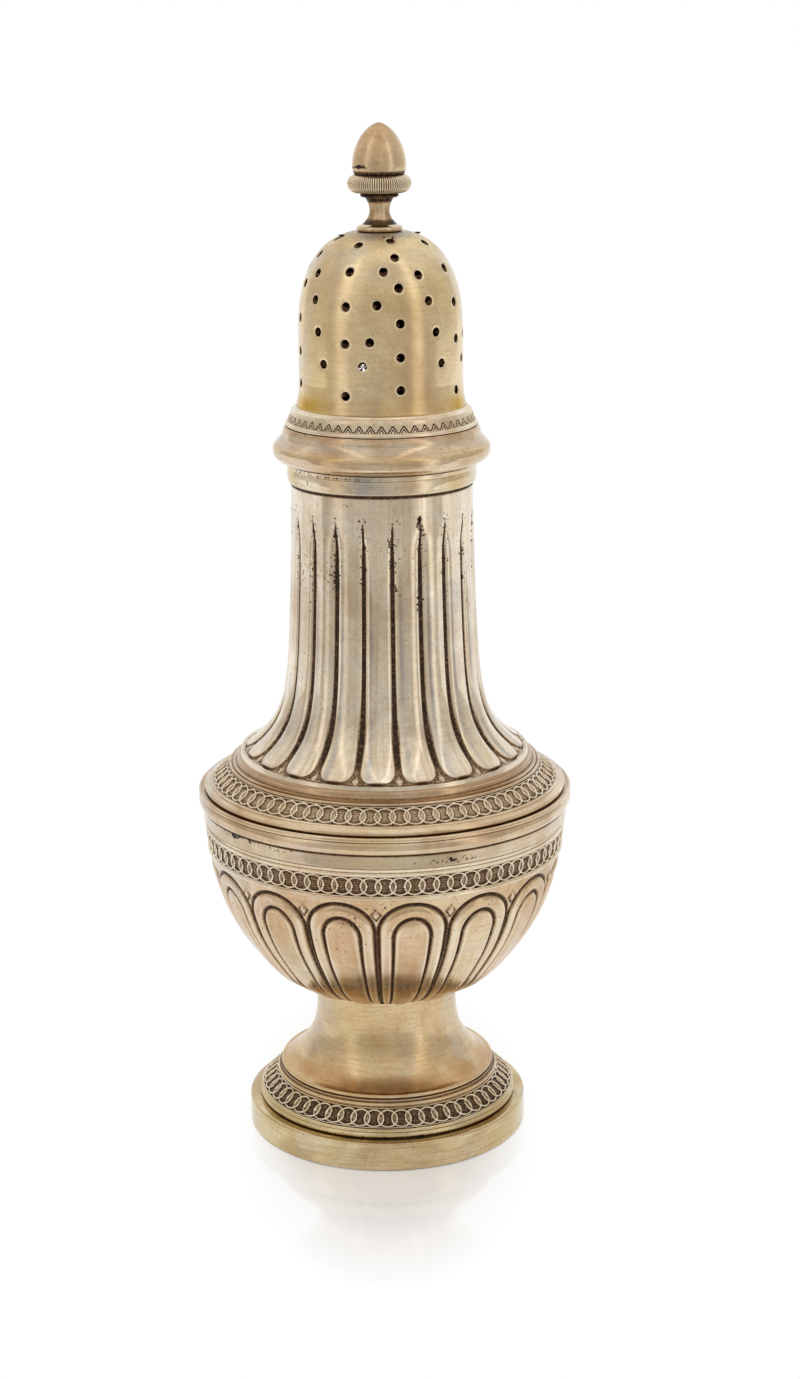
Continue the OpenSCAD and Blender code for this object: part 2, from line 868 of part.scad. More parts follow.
module finial_acorn() {
    belly = 1.4;
    stud_depth = acorn_h / 2;
    steps = levels(0, 90, 12);
    color(silver)
        difference() {
            rotate_extrude()
                polygon(concat(
                    [[0, z_acorn], [acorn_r - 0.15, z_acorn]],
                    [for (a = steps) [
                        acorn_r * pow(cos(a), acorn_point),
                        z_acorn + belly + (acorn_h - belly) * sin(a)
                    ]]
                ));
            translate([0, 0, z_acorn - 1])
                cylinder(r = stud_hole_r, h = stud_depth + 1);
        }
}

module finial_stud() {
    low = z_finial - wall - nut_h - 1;
    color(dark_silver)
        translate([0, 0, low])
            cylinder(r = stud_r, h = z_acorn + acorn_h / 2 - solder_gap - low);
}

module finial_nut() {
    color(dark_silver)
        translate([0, 0, z_finial - wall - nut_h])
            difference() {
                cylinder(r = nut_r, h = nut_h, $fn = 6);
                translate([0, 0, -1])
                    cylinder(r = stud_hole_r, h = nut_h + 2);
            }
}

foot_plinth();
foot_beads();
foot_frieze();
foot_stem();
bowl();
bowl_frieze();
body_band();
rim_moulding();
shoulder();
shoulder_frieze();
neck();
cover_bezel();
cover_skirt();
cover_flange();
cover_frieze();
dome();
finial_base();
finial_stem();
finial_cup();
finial_acorn();
finial_stud();
finial_nut();
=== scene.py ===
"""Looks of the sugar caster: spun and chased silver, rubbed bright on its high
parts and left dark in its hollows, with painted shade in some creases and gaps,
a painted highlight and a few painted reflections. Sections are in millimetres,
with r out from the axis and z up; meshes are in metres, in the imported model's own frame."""
from functools import partial, reduce
from math import atan2, cos, degrees, exp, pi, radians, sin, sqrt

import bpy
import numpy as np
from mathutils import Matrix, Vector


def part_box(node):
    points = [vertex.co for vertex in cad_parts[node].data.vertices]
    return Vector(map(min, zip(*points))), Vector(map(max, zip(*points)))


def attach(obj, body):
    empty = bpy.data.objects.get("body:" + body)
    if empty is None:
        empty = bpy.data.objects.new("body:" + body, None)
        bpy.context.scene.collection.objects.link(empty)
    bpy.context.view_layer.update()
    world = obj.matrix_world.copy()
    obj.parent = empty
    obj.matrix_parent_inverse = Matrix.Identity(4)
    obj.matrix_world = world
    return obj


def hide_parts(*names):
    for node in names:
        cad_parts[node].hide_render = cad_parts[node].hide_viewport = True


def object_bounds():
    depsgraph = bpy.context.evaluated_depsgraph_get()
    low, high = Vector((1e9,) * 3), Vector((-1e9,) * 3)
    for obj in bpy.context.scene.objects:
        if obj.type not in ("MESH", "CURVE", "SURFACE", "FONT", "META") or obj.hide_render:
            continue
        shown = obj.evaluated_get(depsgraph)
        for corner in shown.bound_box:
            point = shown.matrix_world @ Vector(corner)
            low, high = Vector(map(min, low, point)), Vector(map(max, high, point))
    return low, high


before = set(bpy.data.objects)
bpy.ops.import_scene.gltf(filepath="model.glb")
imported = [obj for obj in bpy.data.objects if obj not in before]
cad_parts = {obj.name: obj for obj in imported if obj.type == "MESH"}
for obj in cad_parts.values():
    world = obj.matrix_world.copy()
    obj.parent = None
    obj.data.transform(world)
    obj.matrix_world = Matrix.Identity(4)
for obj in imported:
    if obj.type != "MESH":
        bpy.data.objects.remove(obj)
solids_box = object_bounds()

MM = 0.001


# Heights of the seams between pieces, from the ground up

def lowest(node):
    """Height at which a solid starts, in mm to a hundredth."""
    return round(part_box(node)[0][2] / MM, 2)


# Seams come from the solids; a plain number is the looks' own, a little off the solid's
PLINTH_TOP = 6.2
BEADS_TOP = 8.45
FOOT_FRIEZE_TOP = 11.45
BOWL_FOOT = lowest("bowl")
BOWL_FRIEZE_FOOT = lowest("bowl_frieze")
BAND_FOOT = lowest("body_band")
RIM_FOOT = lowest("rim_moulding")
SEAM = lowest("shoulder")
RIM_TOP = 75.0
NECK_FOOT = lowest("neck")
MOUTH = lowest("cover_skirt")
SKIRT_TOP = lowest("cover_flange")
LEAVES_FOOT = lowest("cover_frieze")
DOME_FOOT = lowest("dome")
DISC_FOOT = lowest("finial_base")
WAIST_FOOT = lowest("finial_stem")
CUP_FOOT = lowest("finial_cup")
ACORN_FOOT = lowest("finial_acorn")
ACORN_TOP = round(solids_box[1][2] / MM, 2)

# Thickness of the sheet, and radii that neighbouring pieces share
SHEET = 0.9
FOOT_BACK = 26.1
STEM_BACK = 22.6
WALL_R = 36.4
BAND_BACK = 36.45
MOUTH_R = 17.05
COVER_BACK = 16.17
STUD_HOLE = 1.05


# Sections of spun and cast pieces

def arc(r, z, radius, start, end, steps=10):
    """Part of a circle, from one angle to another in degrees."""
    turn = np.radians(np.linspace(start, end, steps))
    return list(zip(r + radius * np.cos(turn), z + radius * np.sin(turn)))


def run(start, end, steps):
    """Evenly spaced points from one point to another, both included."""
    return list(zip(np.linspace(start[0], end[0], steps), np.linspace(start[1], end[1], steps)))


def unit(value):
    """The value, held between 0 and 1."""
    return np.clip(value, 0, 1)


def smooth(value):
    """A rise from 0 to 1 that starts and ends level."""
    value = unit(value)
    return value * value * (3 - 2 * value)


def soft_line(off, width):
    """1 on a line, fading away on both sides."""
    return np.exp(-(off / width) ** 2)


def soft_band(off, reach):
    """1 in the middle of a band, falling to 0 at its reach."""
    return smooth(1 - np.abs(off) / reach)


def facing(angle, middle, spread):
    """1 where the skin looks in a direction, in degrees from the front, falling to 0."""
    off = np.degrees(angle) - middle
    return soft_band((off + 180) % 360 - 180, spread)


def most(*amounts):
    """The largest of several amounts at every point."""
    return reduce(np.maximum, amounts)


def mesh_object(name, points, faces, material):
    """An object in the scene, with a mesh of one material."""
    mesh = bpy.data.meshes.new(name)
    mesh.from_pydata(points, [], faces, shade_flat=False)
    mesh.materials.append(material)
    made = bpy.data.objects.new(name, mesh)
    bpy.context.scene.collection.objects.link(made)
    return made


def piece(name, points, faces, marks, silver, body, node):
    """A finished piece: mesh, marks of wear and of painted light, silver, and the solid that it stands
    for.
    """
    made = mesh_object(name, (points * MM).tolist(), faces, silver)
    for mark, amount in marks.items():
        amount = np.ascontiguousarray(amount, dtype=np.float32)
        made.data.attributes.new(mark, "FLOAT", "POINT").data.foreach_set("value", amount.ravel())
    made.data.set_sharp_from_angle(angle=radians(50))
    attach(made, body)
    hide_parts(node)
    return made


def ring_faces(rows, columns, closed=True):
    """Faces between rings of points, each ring closed, the section closed or open."""
    row = np.arange(rows if closed else rows - 1)[:, None]
    column = np.arange(columns)[None, :]
    above = (row + 1) % rows
    beside = (column + 1) % columns
    corners = [row * columns + column, row * columns + beside,
               above * columns + beside, above * columns + column]
    return np.stack(corners, -1).reshape(-1, 4).tolist()


def on_lathe(section, around, relief=None, wear_and_painted_light=None):
    """Points of a section turned about the axis, from the front towards +X.
    relief(angle, r, z) gives how far the skin rises and how dark its patina and painted shade are;
    the function for wear and painted light gives other marks by name. What stands proud is rubbed
    bright."""
    section = np.array(section)
    ahead = np.roll(section, -1, 0) - np.roll(section, 1, 0)
    normal = np.stack([ahead[:, 1], -ahead[:, 0]], 1)
    normal /= np.maximum(np.linalg.norm(normal, axis=1, keepdims=True), 1e-9)
    angle = np.arange(around)[None, :] * 2 * pi / around
    r, z = section[:, :1], section[:, 1:]
    rise, patina_and_painted_shade = relief(angle, r, z) if relief else (0, 0)
    marks = {"patina_and_painted_shade": patina_and_painted_shade}
    marks.update(wear_and_painted_light(angle, r, z) if wear_and_painted_light else {})
    grid = (len(section), around)
    marks = {mark: np.broadcast_to(amount, grid) for mark, amount in marks.items()}
    rise = np.broadcast_to(rise, grid)
    around_it = [(np.roll(rise, 3, way) + np.roll(rise, -3, way)) / 2 for way in (0, 1)]
    marks["rubbed"] = smooth((rise - np.minimum(*around_it) - 0.04) / 0.16)
    r = r + normal[:, :1] * rise
    z = z + normal[:, 1:] * rise
    points = np.stack([r * np.sin(angle), -r * np.cos(angle), z], -1)
    return points.reshape(-1, 3), marks


def spun(name, section, silver, body, node, around=256, relief=None, wear_and_painted_light=None):
    """A closed section turned into a ring or vessel."""
    points, marks = on_lathe(section, around, relief, wear_and_painted_light)
    faces = ring_faces(len(section), around)
    return piece(name, points, faces, marks, silver, body, node)


# Chains of rings. A ring's half width is in pitches, the other sizes are in mm

FOOT_RINGS = 55
BOWL_RINGS = 80
SHOULDER_RINGS = 73
RING_WIDE = 0.7
RING_TALL = 1.84
RING_HIGH = 0.28
WIRE = 0.18
FIELD = 2.1
HATCH = 0.52


def guilloche(count, middle_r, middle_z, lean, ground, lens):
    """A chain of rings, each 1.4 pitches wide, passing over the next at the top and
    under it at the bottom, on a sunk ground hatched along the band. ground and lens
    are how dark it is inside one ring, and where two rings overlap."""
    pitch = 2 * pi * middle_r / count
    lean = radians(lean)

    def relief(angle, r, z):
        along = angle * count / (2 * pi)
        u = (along - np.round(along)) * pitch
        v = (z - middle_z) * cos(lean) - (r - middle_r) * sin(lean)
        out = (r - middle_r) * cos(lean) + (z - middle_z) * sin(lean)
        field = smooth((FIELD - np.abs(v)) / 0.1) * (out > -0.3)
        wire, height, inside, near = 0.0, 0.0, 0, 9.0
        for ring in (-1, 0, 1):
            off = u - ring * pitch
            away = (np.hypot(off / (RING_WIDE * pitch), v / RING_TALL) - 1) * RING_TALL
            strand = np.sqrt(unit(1 - (away / WIRE) ** 2))
            crossing = 0.07 * v / RING_TALL * np.clip(2 * off / pitch, -1, 1)
            near = np.minimum(near, np.abs(away))
            wire = np.maximum(wire, strand)
            height = np.maximum(height, strand * (RING_HIGH + crossing))
            inside = inside + (away < 0)
        hatch = 0.5 + 0.5 * np.cos(2 * pi * v / HATCH)
        beside = soft_line(near - WIRE, 0.16)
        spool = ground * (0.7 + 0.3 * hatch) + 0.5 * beside + 0.3 * smooth((np.abs(v) - 0.9) / 0.7)
        shade = np.where(inside == 2, lens + 0.3 * beside, np.where(inside == 1, spool, 0.97))
        rise = field * (height - RING_HIGH - 0.04 * hatch * (wire == 0))
        return rise, field * unit(shade) * (1 - smooth(2.2 * wire))

    return relief


# Flutes of the neck: lobes with spoon ends, and grooves that end in points

LOBES = 20
LOBE_TURN = 6.0
LOBE_DEPTH = 0.8
LOBE_LOW = 83.6
LOBE_TIP = 133.5
SPOON = 2.3
ROUNDNESS = 2.8
POINT = 13


def neck_r(z):
    """Radius over the lobes: nearly straight above, flaring towards the shoulder."""
    h = z - LOBE_LOW
    taper = np.maximum(0, 1 - h / (MOUTH - NECK_FOOT)) ** 1.5
    return 18.5 + 2 * taper + 8.6 * np.exp(-h / 5)


def lobe_turn(angle):
    """A direction counted in lobes, with whole numbers on their crowns."""
    return (np.degrees(angle) - LOBE_TURN) * LOBES / 360 - 0.5


def beside_lobe(angle):
    """Place across a lobe: 0 on its crown and 1 or -1 in the middle of a groove."""
    turn = lobe_turn(angle)
    return 2 * (turn - np.round(turn))


def neck_lobes(angle, r, z):
    """Rounded lobes with spoon ends, pointed grooves between them, and a small
    leaf in the foot of each groove."""
    side = beside_lobe(angle)
    across = np.abs(side)
    h = z - LOBE_LOW
    width = pi * r / LOBES
    spoon = unit(1 - unit(1 - h / SPOON) ** ROUNDNESS) ** (1 / ROUNDNESS)
    point = np.sqrt(unit((LOBE_TIP - z) / POINT))
    groove = (0.03 + 0.17 * point) * (1 - 0.36 * smooth((93 - z) / 8))
    edge = (1 - groove) * spoon
    t = across / np.maximum(edge, 0.01)
    crown = (1 - 0.42 * t ** 2 - 0.2 * t ** 8) * (1 - 0.4 * unit(1 - h / 3.2) ** 2)
    flank = 0.38 * (1 - smooth((across - edge) / (0.55 * groove)))
    lobe = np.where(h <= 0, 0, np.where(across < edge, crown, flank))
    skin = r > neck_r(z) - 0.5
    fade = smooth((LOBE_TIP - z) / 6) * skin
    leaf = 1 - np.abs(1 - across) * width / 0.85 - np.abs(h - 0.45)
    rise = fade * (0.45 * unit(leaf) - LOBE_DEPTH * (1 - lobe))

    # Patina on the groove's floor, along a lobe's edge, round its end and round the leaf; a painted
    # shadow just under each lobe's end
    bed = 1 - (0.9 + 0.14 * smooth((104 - z) / 18)) * groove
    floor = smooth((across - bed) / (0.3 * groove)) * smooth((h - 0.3) / 2.6)
    past_edge = (across - edge) * width
    outline = 0.8 * soft_line(past_edge, 0.24) * (h > 0) * smooth((96 - z) / 7)
    between = 0.6 * smooth(past_edge / 0.2) * smooth((3.4 - h) / 1.2) * smooth((h + 0.1) / 0.3)
    shadow_under_lobe_end = 0.7 * soft_band(h, 0.26) * smooth((0.8 - across) / 0.2)
    round_leaf = 0.8 * soft_line(leaf, 0.25) * (h > -0.6)
    # A painted reflection: a thin dark line down each lobe, stronger on some than on others
    film = (0.22 + 0.2 * np.sin(2.4 * np.round(lobe_turn(angle)))) * soft_line(side + 0.52, 0.06)
    film = film * smooth((z - 93) / 12) * smooth((128 - z) / 12)
    dark = most(floor, outline, between, shadow_under_lobe_end, round_leaf, film)
    dark = dark * smooth((LOBE_TIP + 0.4 - z) / 1.2) * (1 - 0.65 * smooth(3 * leaf))
    seam = smooth((z - MOUTH + 0.4) / 0.3) + 0.26 * smooth(-h / 0.25)
    return rise, skin * unit(np.maximum(dark, seam))


def neck_wear_and_painted_light(angle, r, z):
    """Pits along the upper grooves, a blue-grey painted reflection down the left of each lobe, and
    brown half way up and at the foot; the brown on the left is painted shade."""
    side = beside_lobe(angle)
    high = smooth((z - 104) / 20) * smooth((136.5 - z) / 3)
    return {"pits": 0.15 * soft_line(1 - np.abs(side), 0.42) * high + 0.04 * high,
            "cool": 0.9 * soft_line(side + 0.42, 0.15) * smooth((128 - z) / 12),
            "brown": (0.5 * soft_band(z - 117, 19) + 0.9 * smooth((LOBE_LOW + 0.5 - z) / 0.6)
                      + 0.3 * facing(angle, -58, 40))}


# Arches of the bowl

ARCHES = 15
ARCH_TURN = 8.9
ARCH_TOP = 60.4
PANEL_TOP = 57.1
PYRAMID = 58.4
BOWL_R = 37.6
WIDEST = 68
BOWL_RISE = 40.16


def bowl_r(z):
    """An ellipse, a little fuller at the bottom and slacker near the rim."""
    ellipse = BOWL_R * np.sqrt(unit(1 - ((WIDEST - z) / BOWL_RISE) ** 2))
    fuller = 1.2 * soft_line(z - 34.6, 5.2) * smooth((z - 30) / 3.4)
    return ellipse + fuller - 0.45 * smooth((z - 44) / 14)


def from_arch(x, z, half_width, top, crown):
    """Distance in mm outside an arch with an elliptical head."""
    up = np.maximum(0, z - top + crown)
    value = (x / half_width) ** 2 + (up / crown) ** 2 - 1
    slope = 2 * np.hypot(x / half_width ** 2, up / crown ** 2)
    return value / np.maximum(slope, 0.05)


def bowl_arches(angle, r, z):
    """Double arches: a cushioned border round a plain panel, chased in with dark
    outlines, and a small pyramid in each gap."""
    turn = (np.degrees(angle) - ARCH_TURN) * ARCHES / 360
    half_pitch = pi * r / ARCHES
    x = 2 * (turn - np.round(turn)) * half_pitch
    border = from_arch(x, z, 0.95 * half_pitch, ARCH_TOP, 6.4)
    panel = from_arch(x, z, 0.53 * half_pitch, PANEL_TOP, 4.6)
    line = 0.3 + 0.14 * smooth((z - 44) / 12)
    cut = most(soft_line(border, line), soft_line(panel, line))
    cushion = 0.34 * smooth(-border / 1.7) * smooth(panel / 1.7) + 0.26 * smooth(-panel / 2.4)
    pyramid = 1 - (half_pitch - np.abs(x)) / 0.9 - np.abs(z - PYRAMID) / 1.3
    below = smooth((ARCH_TOP + 0.9 - z) / 0.5) * (r > bowl_r(z) - 0.4)
    rise = below * (cushion + 0.5 * unit(pyramid) - 0.5 * cut)
    dark = unit(1.15 * cut ** 1.3) * (1 - 0.75 * smooth(2 * pyramid))
    # The patina round each pyramid is heavier on its lower half: painted shade
    foot = 0.35 + 0.6 * smooth((PYRAMID + 0.8 - z) / 0.9)
    return rise, below * most(dark, foot * soft_line(pyramid + 0.05, 0.28))


# Leaf tips of the cover, and milling of the acorn's cup

LEAVES = 53
LEAF_R = 18.7
MILLING = 84


def leaf_tips(angle, r, z):
    """Pointed leaf tips, each with a smaller tip inside, standing on the bead, and
    fine upright strokes above them."""
    turn = angle * LEAVES / (2 * pi)
    half = pi * LEAF_R / LEAVES
    x = 2 * half * np.abs(turn - np.round(turn))
    h = z - LEAVES_FOOT - 1
    face = (r > 17.6) * smooth(h / 0.1) * (h < 2.5)
    outer = (x - 0.9 * half * (1 - h / 1.4)) * 0.82
    inner = (x - 0.44 * half * (1 - h / 0.75)) * 0.82
    cut = most(soft_line(outer, 0.09) * (h < 1.45), soft_line(inner, 0.07) * (h < 0.85))
    stroke = smooth(np.cos(6 * pi * x / half) - 0.2)
    stroke = stroke * smooth(outer / 0.2) * smooth((1.9 - h) / 0.5)
    foot = smooth(1 - h / 0.15)
    dark = unit(2.3 * cut + 0.6 * stroke + 0.9 * foot)
    return face * (-0.24 * cut - 0.04 * stroke), face * dark


def milled_belly(angle, r, z):
    """Fine upright ribs round the cup's belly, with grime between them and where the acorn sits, and
    darker on the cup's underside.
    """
    rib = np.abs(np.sin(MILLING / 2 * angle))
    belly = smooth((r - 4.9) / 0.6)
    edges = 0.85 * smooth((CUP_FOOT + 1.1 - z) / 0.3) + 0.5 * smooth((z - ACORN_FOOT + 0.3) / 0.2)
    dark = unit(belly * unit(1.2 - 1.9 * rib) + edges)
    return belly * 0.3 * (rib ** 0.7 - 1), dark


# Silver. One small function adds every node

def linear(colour):
    """An sRGB hex colour as the linear light that a shader takes."""
    parts = [int(colour[i:i + 2], 16) / 255 for i in (1, 3, 5)]
    return [c / 12.92 if c <= 0.04045 else ((c + 0.055) / 1.055) ** 2.4 for c in parts] + [1]


def add(tree, kind, inputs=None, out=0, **settings):
    """Adds a node, sets it, links what comes in, and returns what goes out."""
    node = tree.nodes.new("ShaderNode" + kind)
    for key, value in settings.items():
        setattr(node, key, value)
    for key, value in (inputs or {}).items():
        if isinstance(value, bpy.types.NodeSocket):
            tree.links.new(value, node.inputs[key])
        else:
            node.inputs[key].default_value = value
    return node.outputs[out] if node.outputs else None


def new_material(name):
    """An empty material, and the function that puts nodes into it."""
    material = bpy.data.materials.new(name)
    material.use_nodes = True
    material.node_tree.nodes.clear()
    return material, partial(add, material.node_tree)


def round_the_axis(put, place):
    """The height of a place, and its direction from the front in radians."""
    x, y, z = put("SeparateXYZ", {0: place}).node.outputs
    front = put("Math", {0: y, 1: -1.0}, operation="MULTIPLY")
    return z, put("Math", {0: x, 1: front}, operation="ARCTAN2")


# Colours of patina, also used for the painted shade in creases and gaps
PATINA_AND_SHADE = "#2f2116"
WORN_PATINA_AND_SHADE = "#7a604a"
TARNISH_AND_SHADE = "#86623f"
RUBBED = "#f3e8d2"
COOL = "#c9c9c2"
BLUE_GREY = "#a5aab0"
ROSE = "#d3ac94"
STRAW = "#cfc08c"
GILT = "#c9a136"

# Patterns of wear as noise: size in mm, detail, roughness and distortion
NOISES = {
    "clouds": (14, 6, 0.65, 0.5),
    "rubbing": (22, 4, 0.55, 0.8),
    "blooms": (26, 9, 0.72, 1.2),
    "films": (30, 4, 0.6, 1),
    "grain": (0.6, 2, 0.55, 0),
    "patches": (9, 3, 0.6, 0),
    "blots": (2, 4, 0.6, 0),
    "hammer": (7, 2, 0.5, 0)}
# Noise drawn out along the surface: repeats per radian round the axis, mm up it, detail,
# roughness. Polishing lines are 0.6 mm apart, drawn wide enough to show; runs of tarnish
# are about 1 mm wide and 25 mm long
STREAKS = {"lines": (2.6, 0.6, 4, 0.7), "runs": (19, 25, 5, 0.65)}


def worn_silver(name, bright, toned, stain, stained=0.5, pitted=0.12, sheen=0.16, lined=0.45,
                run_down=0.0):
    """Sterling silver, spun, polished by hand and left to tone: a warm bright sheen
    with cloudy tarnish, fine polishing lines round the axis, black pits, and
    sulphide patina in every recess, with painted shade in the creases, and painted
    shade and painted reflections where a piece's marks carry them."""
    material, put = new_material("sterling_silver_" + name)
    place = put("TexCoord", out="Object")
    height, turn = round_the_axis(put, place)
    noise = {}
    for pattern, (size, detail, roughness, distortion) in NOISES.items():
        noise[pattern] = put("TexNoise", {
            "Vector": place, "Scale": 1 / (size * MM), "Detail": detail,
            "Roughness": roughness, "Distortion": distortion})
    for pattern, (repeats, size, detail, roughness) in STREAKS.items():
        across = put("Math", {0: turn, 1: repeats}, operation="MULTIPLY")
        upward = put("Math", {0: height, 1: 1 / (size * MM)}, operation="MULTIPLY")
        drawn_out = put("CombineXYZ", {0: across, 2: upward})
        noise[pattern] = put("TexNoise", {"Vector": drawn_out, "Scale": 1.0,
                "Detail": detail, "Roughness": roughness})

    # What each pattern lays on the metal: where it starts, where it is full, how strong
    film = {}
    for kind, pattern, start, full, strength in (
            ("cloud", "clouds", 0.38, 0.64, 1), ("rubbed", "rubbing", 0.52, 0.7, 0.55),
            ("rose", "films", 0.54, 0.68, 0.3), ("straw", "films", 0.46, 0.32, 0.4),
            ("speck", "grain", 0.56, 0.72, 0.42), ("patch", "patches", 0.5, 0.72, pitted),
            ("streak", "lines", 0.42, 0.68, lined), ("brown_run", "runs", 0.5, 0.68, run_down),
            ("cool_run", "runs", 0.46, 0.32, run_down)):
        film[kind] = put("MapRange", {"Value": noise[pattern], "From Min": start,
                "From Max": full, "To Max": strength})
    mark = {kind: put("Attribute", out="Fac", attribute_name=kind)
            for kind in ("brown", "pits", "cool", "yellow", "rubbed", "patina_and_painted_shade", "dull")}

    # Brown blooms with ragged edges, more of them where a piece is marked; on some pieces that mark is
    # painted shade
    brown = put("MapRange", {"Value": mark["brown"], "To Max": 0.2})
    bloom = put("Math", {0: noise["blooms"], 1: brown}, operation="ADD")
    bloom = put("MapRange", {"Value": bloom, "From Min": 0.5, "From Max": 0.72, "To Max": stained})
    # Pits 0.2 to 0.5 mm across and blots of 1 mm, in patches and where a piece is marked
    pits = put("Math", {0: noise["grain"], 1: film["patch"]}, operation="ADD")
    pits = put("Math", {0: pits, 1: mark["pits"]}, operation="ADD")
    pits = put("MapRange", {"Value": pits, "From Min": 0.78, "From Max": 0.82})
    blot = put("Math", {0: noise["blots"], 1: mark["pits"]}, operation="ADD")
    blot = put("MapRange", {"Value": blot, "From Min": 0.77, "From Max": 0.8})
    pits = put("Math", {0: pits, 1: blot}, operation="MAXIMUM")
    # Where a piece is marked: blue-grey in the clouds, a film on some pieces and a painted reflection
    # on others, and yellow with ragged edges
    cool = put("Math", {0: mark["cool"], 1: film["cloud"]}, operation="MULTIPLY")
    ragged = put("MapRange", {"Value": noise["grain"], "From Min": 0.35, "From Max": 0.6,
            "To Min": 1.15, "To Max": 0.8})
    gilt = put("Math", {0: mark["yellow"], 1: ragged}, operation="MULTIPLY", use_clamp=True)
    edge = put("MapRange", {"Value": mark["rubbed"], "To Max": 0.5})
    # Patina where the ornament is sunk, with painted shade where a piece marks it; patina and painted
    # shade in the creases between mouldings, from how little sky they see; and the pits
    recess = put("Math", {0: mark["patina_and_painted_shade"], 1: ragged}, operation="MULTIPLY", use_clamp=True)
    open_sky = put("AmbientOcclusion", {"Distance": 1.2 * MM}, out="AO", samples=8)
    crease_patina_and_shade = put("MapRange", {"Value": open_sky, "From Min": 0.47, "From Max": 0.1, "To Max": 0.75})
    dark = put("Math", {0: recess, 1: crease_patina_and_shade}, operation="MAXIMUM")
    dark = put("Math", {0: dark, 1: pits}, operation="MAXIMUM", use_clamp=True)
    thin = put("MapRange", {"Value": dark, "From Max": 0.6, "To Max": 0.9})
    deep = put("MapRange", {"Value": dark, "From Min": 0.3, "From Max": 0.95})
    patina_and_shade_colour = put("Mix", {0: film["speck"], 6: linear(PATINA_AND_SHADE), 7: linear(WORN_PATINA_AND_SHADE)}, out=2,
               data_type="RGBA")

    # Every film over the ones before it
    colour = linear(bright)
    for amount, tint in ((film["cloud"], toned), (film["rubbed"], COOL), (film["rose"], ROSE),
                         (film["straw"], STRAW), (cool, BLUE_GREY), (film["brown_run"], stain),
                         (film["cool_run"], COOL), (bloom, stain), (film["streak"], stain),
                         (film["speck"], stain), (gilt, GILT), (edge, RUBBED), (thin, TARNISH_AND_SHADE)):
        colour = put("Mix", {0: amount, 6: colour, 7: linear(tint)}, out=2, data_type="RGBA")
    colour = put("Mix", {0: deep, 6: colour, 7: patina_and_shade_colour}, out=2, data_type="RGBA")

    # Bare metal is smooth along the polishing lines; patina covers it and is rough
    bare = put("MapRange", {"Value": deep, "To Min": 1.0, "To Max": 0.15})
    rough = put("MapRange", {"Value": noise["lines"], "From Min": 0.3, "From Max": 0.7,
            "To Min": sheen - 0.03, "To Max": sheen + 0.06})
    dull = put("Math", {0: mark["dull"], 1: dark}, operation="MAXIMUM")
    dull = put("Math", {0: dull, 1: 0.4}, operation="MULTIPLY")
    rough = put("Math", {0: rough, 1: dull}, operation="ADD", use_clamp=True)
    # Shallow planishing marks, the polishing lines, and the pits
    bump = put("Bump", {"Height": noise["hammer"], "Strength": 0.3, "Distance": 0.18 * MM})
    bump = put("Bump", {"Height": noise["lines"], "Strength": 0.2, "Distance": 0.02 * MM,
            "Normal": bump})
    bump = put("Bump", {"Height": pits, "Strength": 0.6, "Distance": 0.1 * MM,
            "Normal": bump}, invert=True)
    shader = put("BsdfPrincipled", {"Base Color": colour, "Metallic": bare,
            "Roughness": rough, "Specular IOR Level": 0.2, "Normal": bump})
    put("OutputMaterial", {"Surface": shader})
    return material


# Neck: palest and glossy, with brown and cool runs down the flutes
neck_silver = worn_silver("fluted", "#f5ecdb", "#e7d8bd", "#b09273",
    stained=0.5, sheen=0.09, lined=0.15, run_down=0.45)
# Plain band: greyer, and smooth enough to mirror the studio
band_silver = worn_silver("band", "#e0d3bb", "#cbb797", "#a88963",
    stained=0.6, pitted=0.1, sheen=0.08, lined=0.3)
# Bowl: warm, with a softer shine and brown runs
bowl_silver = worn_silver("chased", "#e3cfae", "#cfb48c", "#b08556",
    stained=0.65, sheen=0.14, lined=0.25, run_down=0.3)
# Foot: golden and satin
foot_silver = worn_silver("foot", "#ddc8a2", "#cdb185", "#b28550",
    stained=0.65, pitted=0.06, sheen=0.21, lined=0.4)
# Plinth: olive yellow, with plain polishing lines
plinth_silver = worn_silver("plinth", "#dccca6", "#cab486", "#9d8152",
    stained=0.5, pitted=0.08, sheen=0.1, lined=0.55)
# Mouldings: glossy, with brown clouds and black specks
trim_silver = worn_silver("mouldings", "#e6d5b9", "#d0b793", "#a98562",
    stained=0.65, pitted=0.15, sheen=0.09, lined=0.42)
# Friezes: oxidised dark, then rubbed pale on top
frieze_silver = worn_silver("oxidised", "#f2e6cf", "#dcc8a6", "#a98a66",
    pitted=0.08, sheen=0.2, lined=0.2)
# Cover's skirt: pale and glossy
skirt_silver = worn_silver("skirt", "#f0e5cf", "#dfcdac", "#ae906c", stained=0.55, sheen=0.1, lined=0.3)
# Dome: toned yellow, with a broad soft shine
dome_silver = worn_silver("toned", "#efdcb3", "#ddc79b", "#bd9b70",
    stained=0.6, pitted=0.05, sheen=0.15, lined=0.3)
# Inside of the dome: tarnished, and nearly black as painted shade so the holes read dark
inside_silver = worn_silver("tarnished_and_painted_shade_inside", "#2c221a", "#211812", "#160f0a", sheen=0.4)
# Insides of bowl and neck: never polished, so dull
dull_silver = worn_silver("unpolished_inside", "#ddd2bc", "#c8b799", "#9a8060",
    stained=0.6, sheen=0.5, lined=0.2)
# Acorn: cast, brown and satin
finial_silver = worn_silver("cast", "#dfc6a0", "#c9ab84", "#a07a57",
    stained=0.6, pitted=0.1, sheen=0.2, lined=0.2)


def dull_inside(made, first_row, around):
    """The inside of a vessel, from one row of its section on: never polished, so dull."""
    made.data.materials.append(dull_silver)
    row = np.arange(len(made.data.polygons)) // around
    made.data.polygons.foreach_set("material_index", (row >= first_row).astype(np.int32))


# Foot

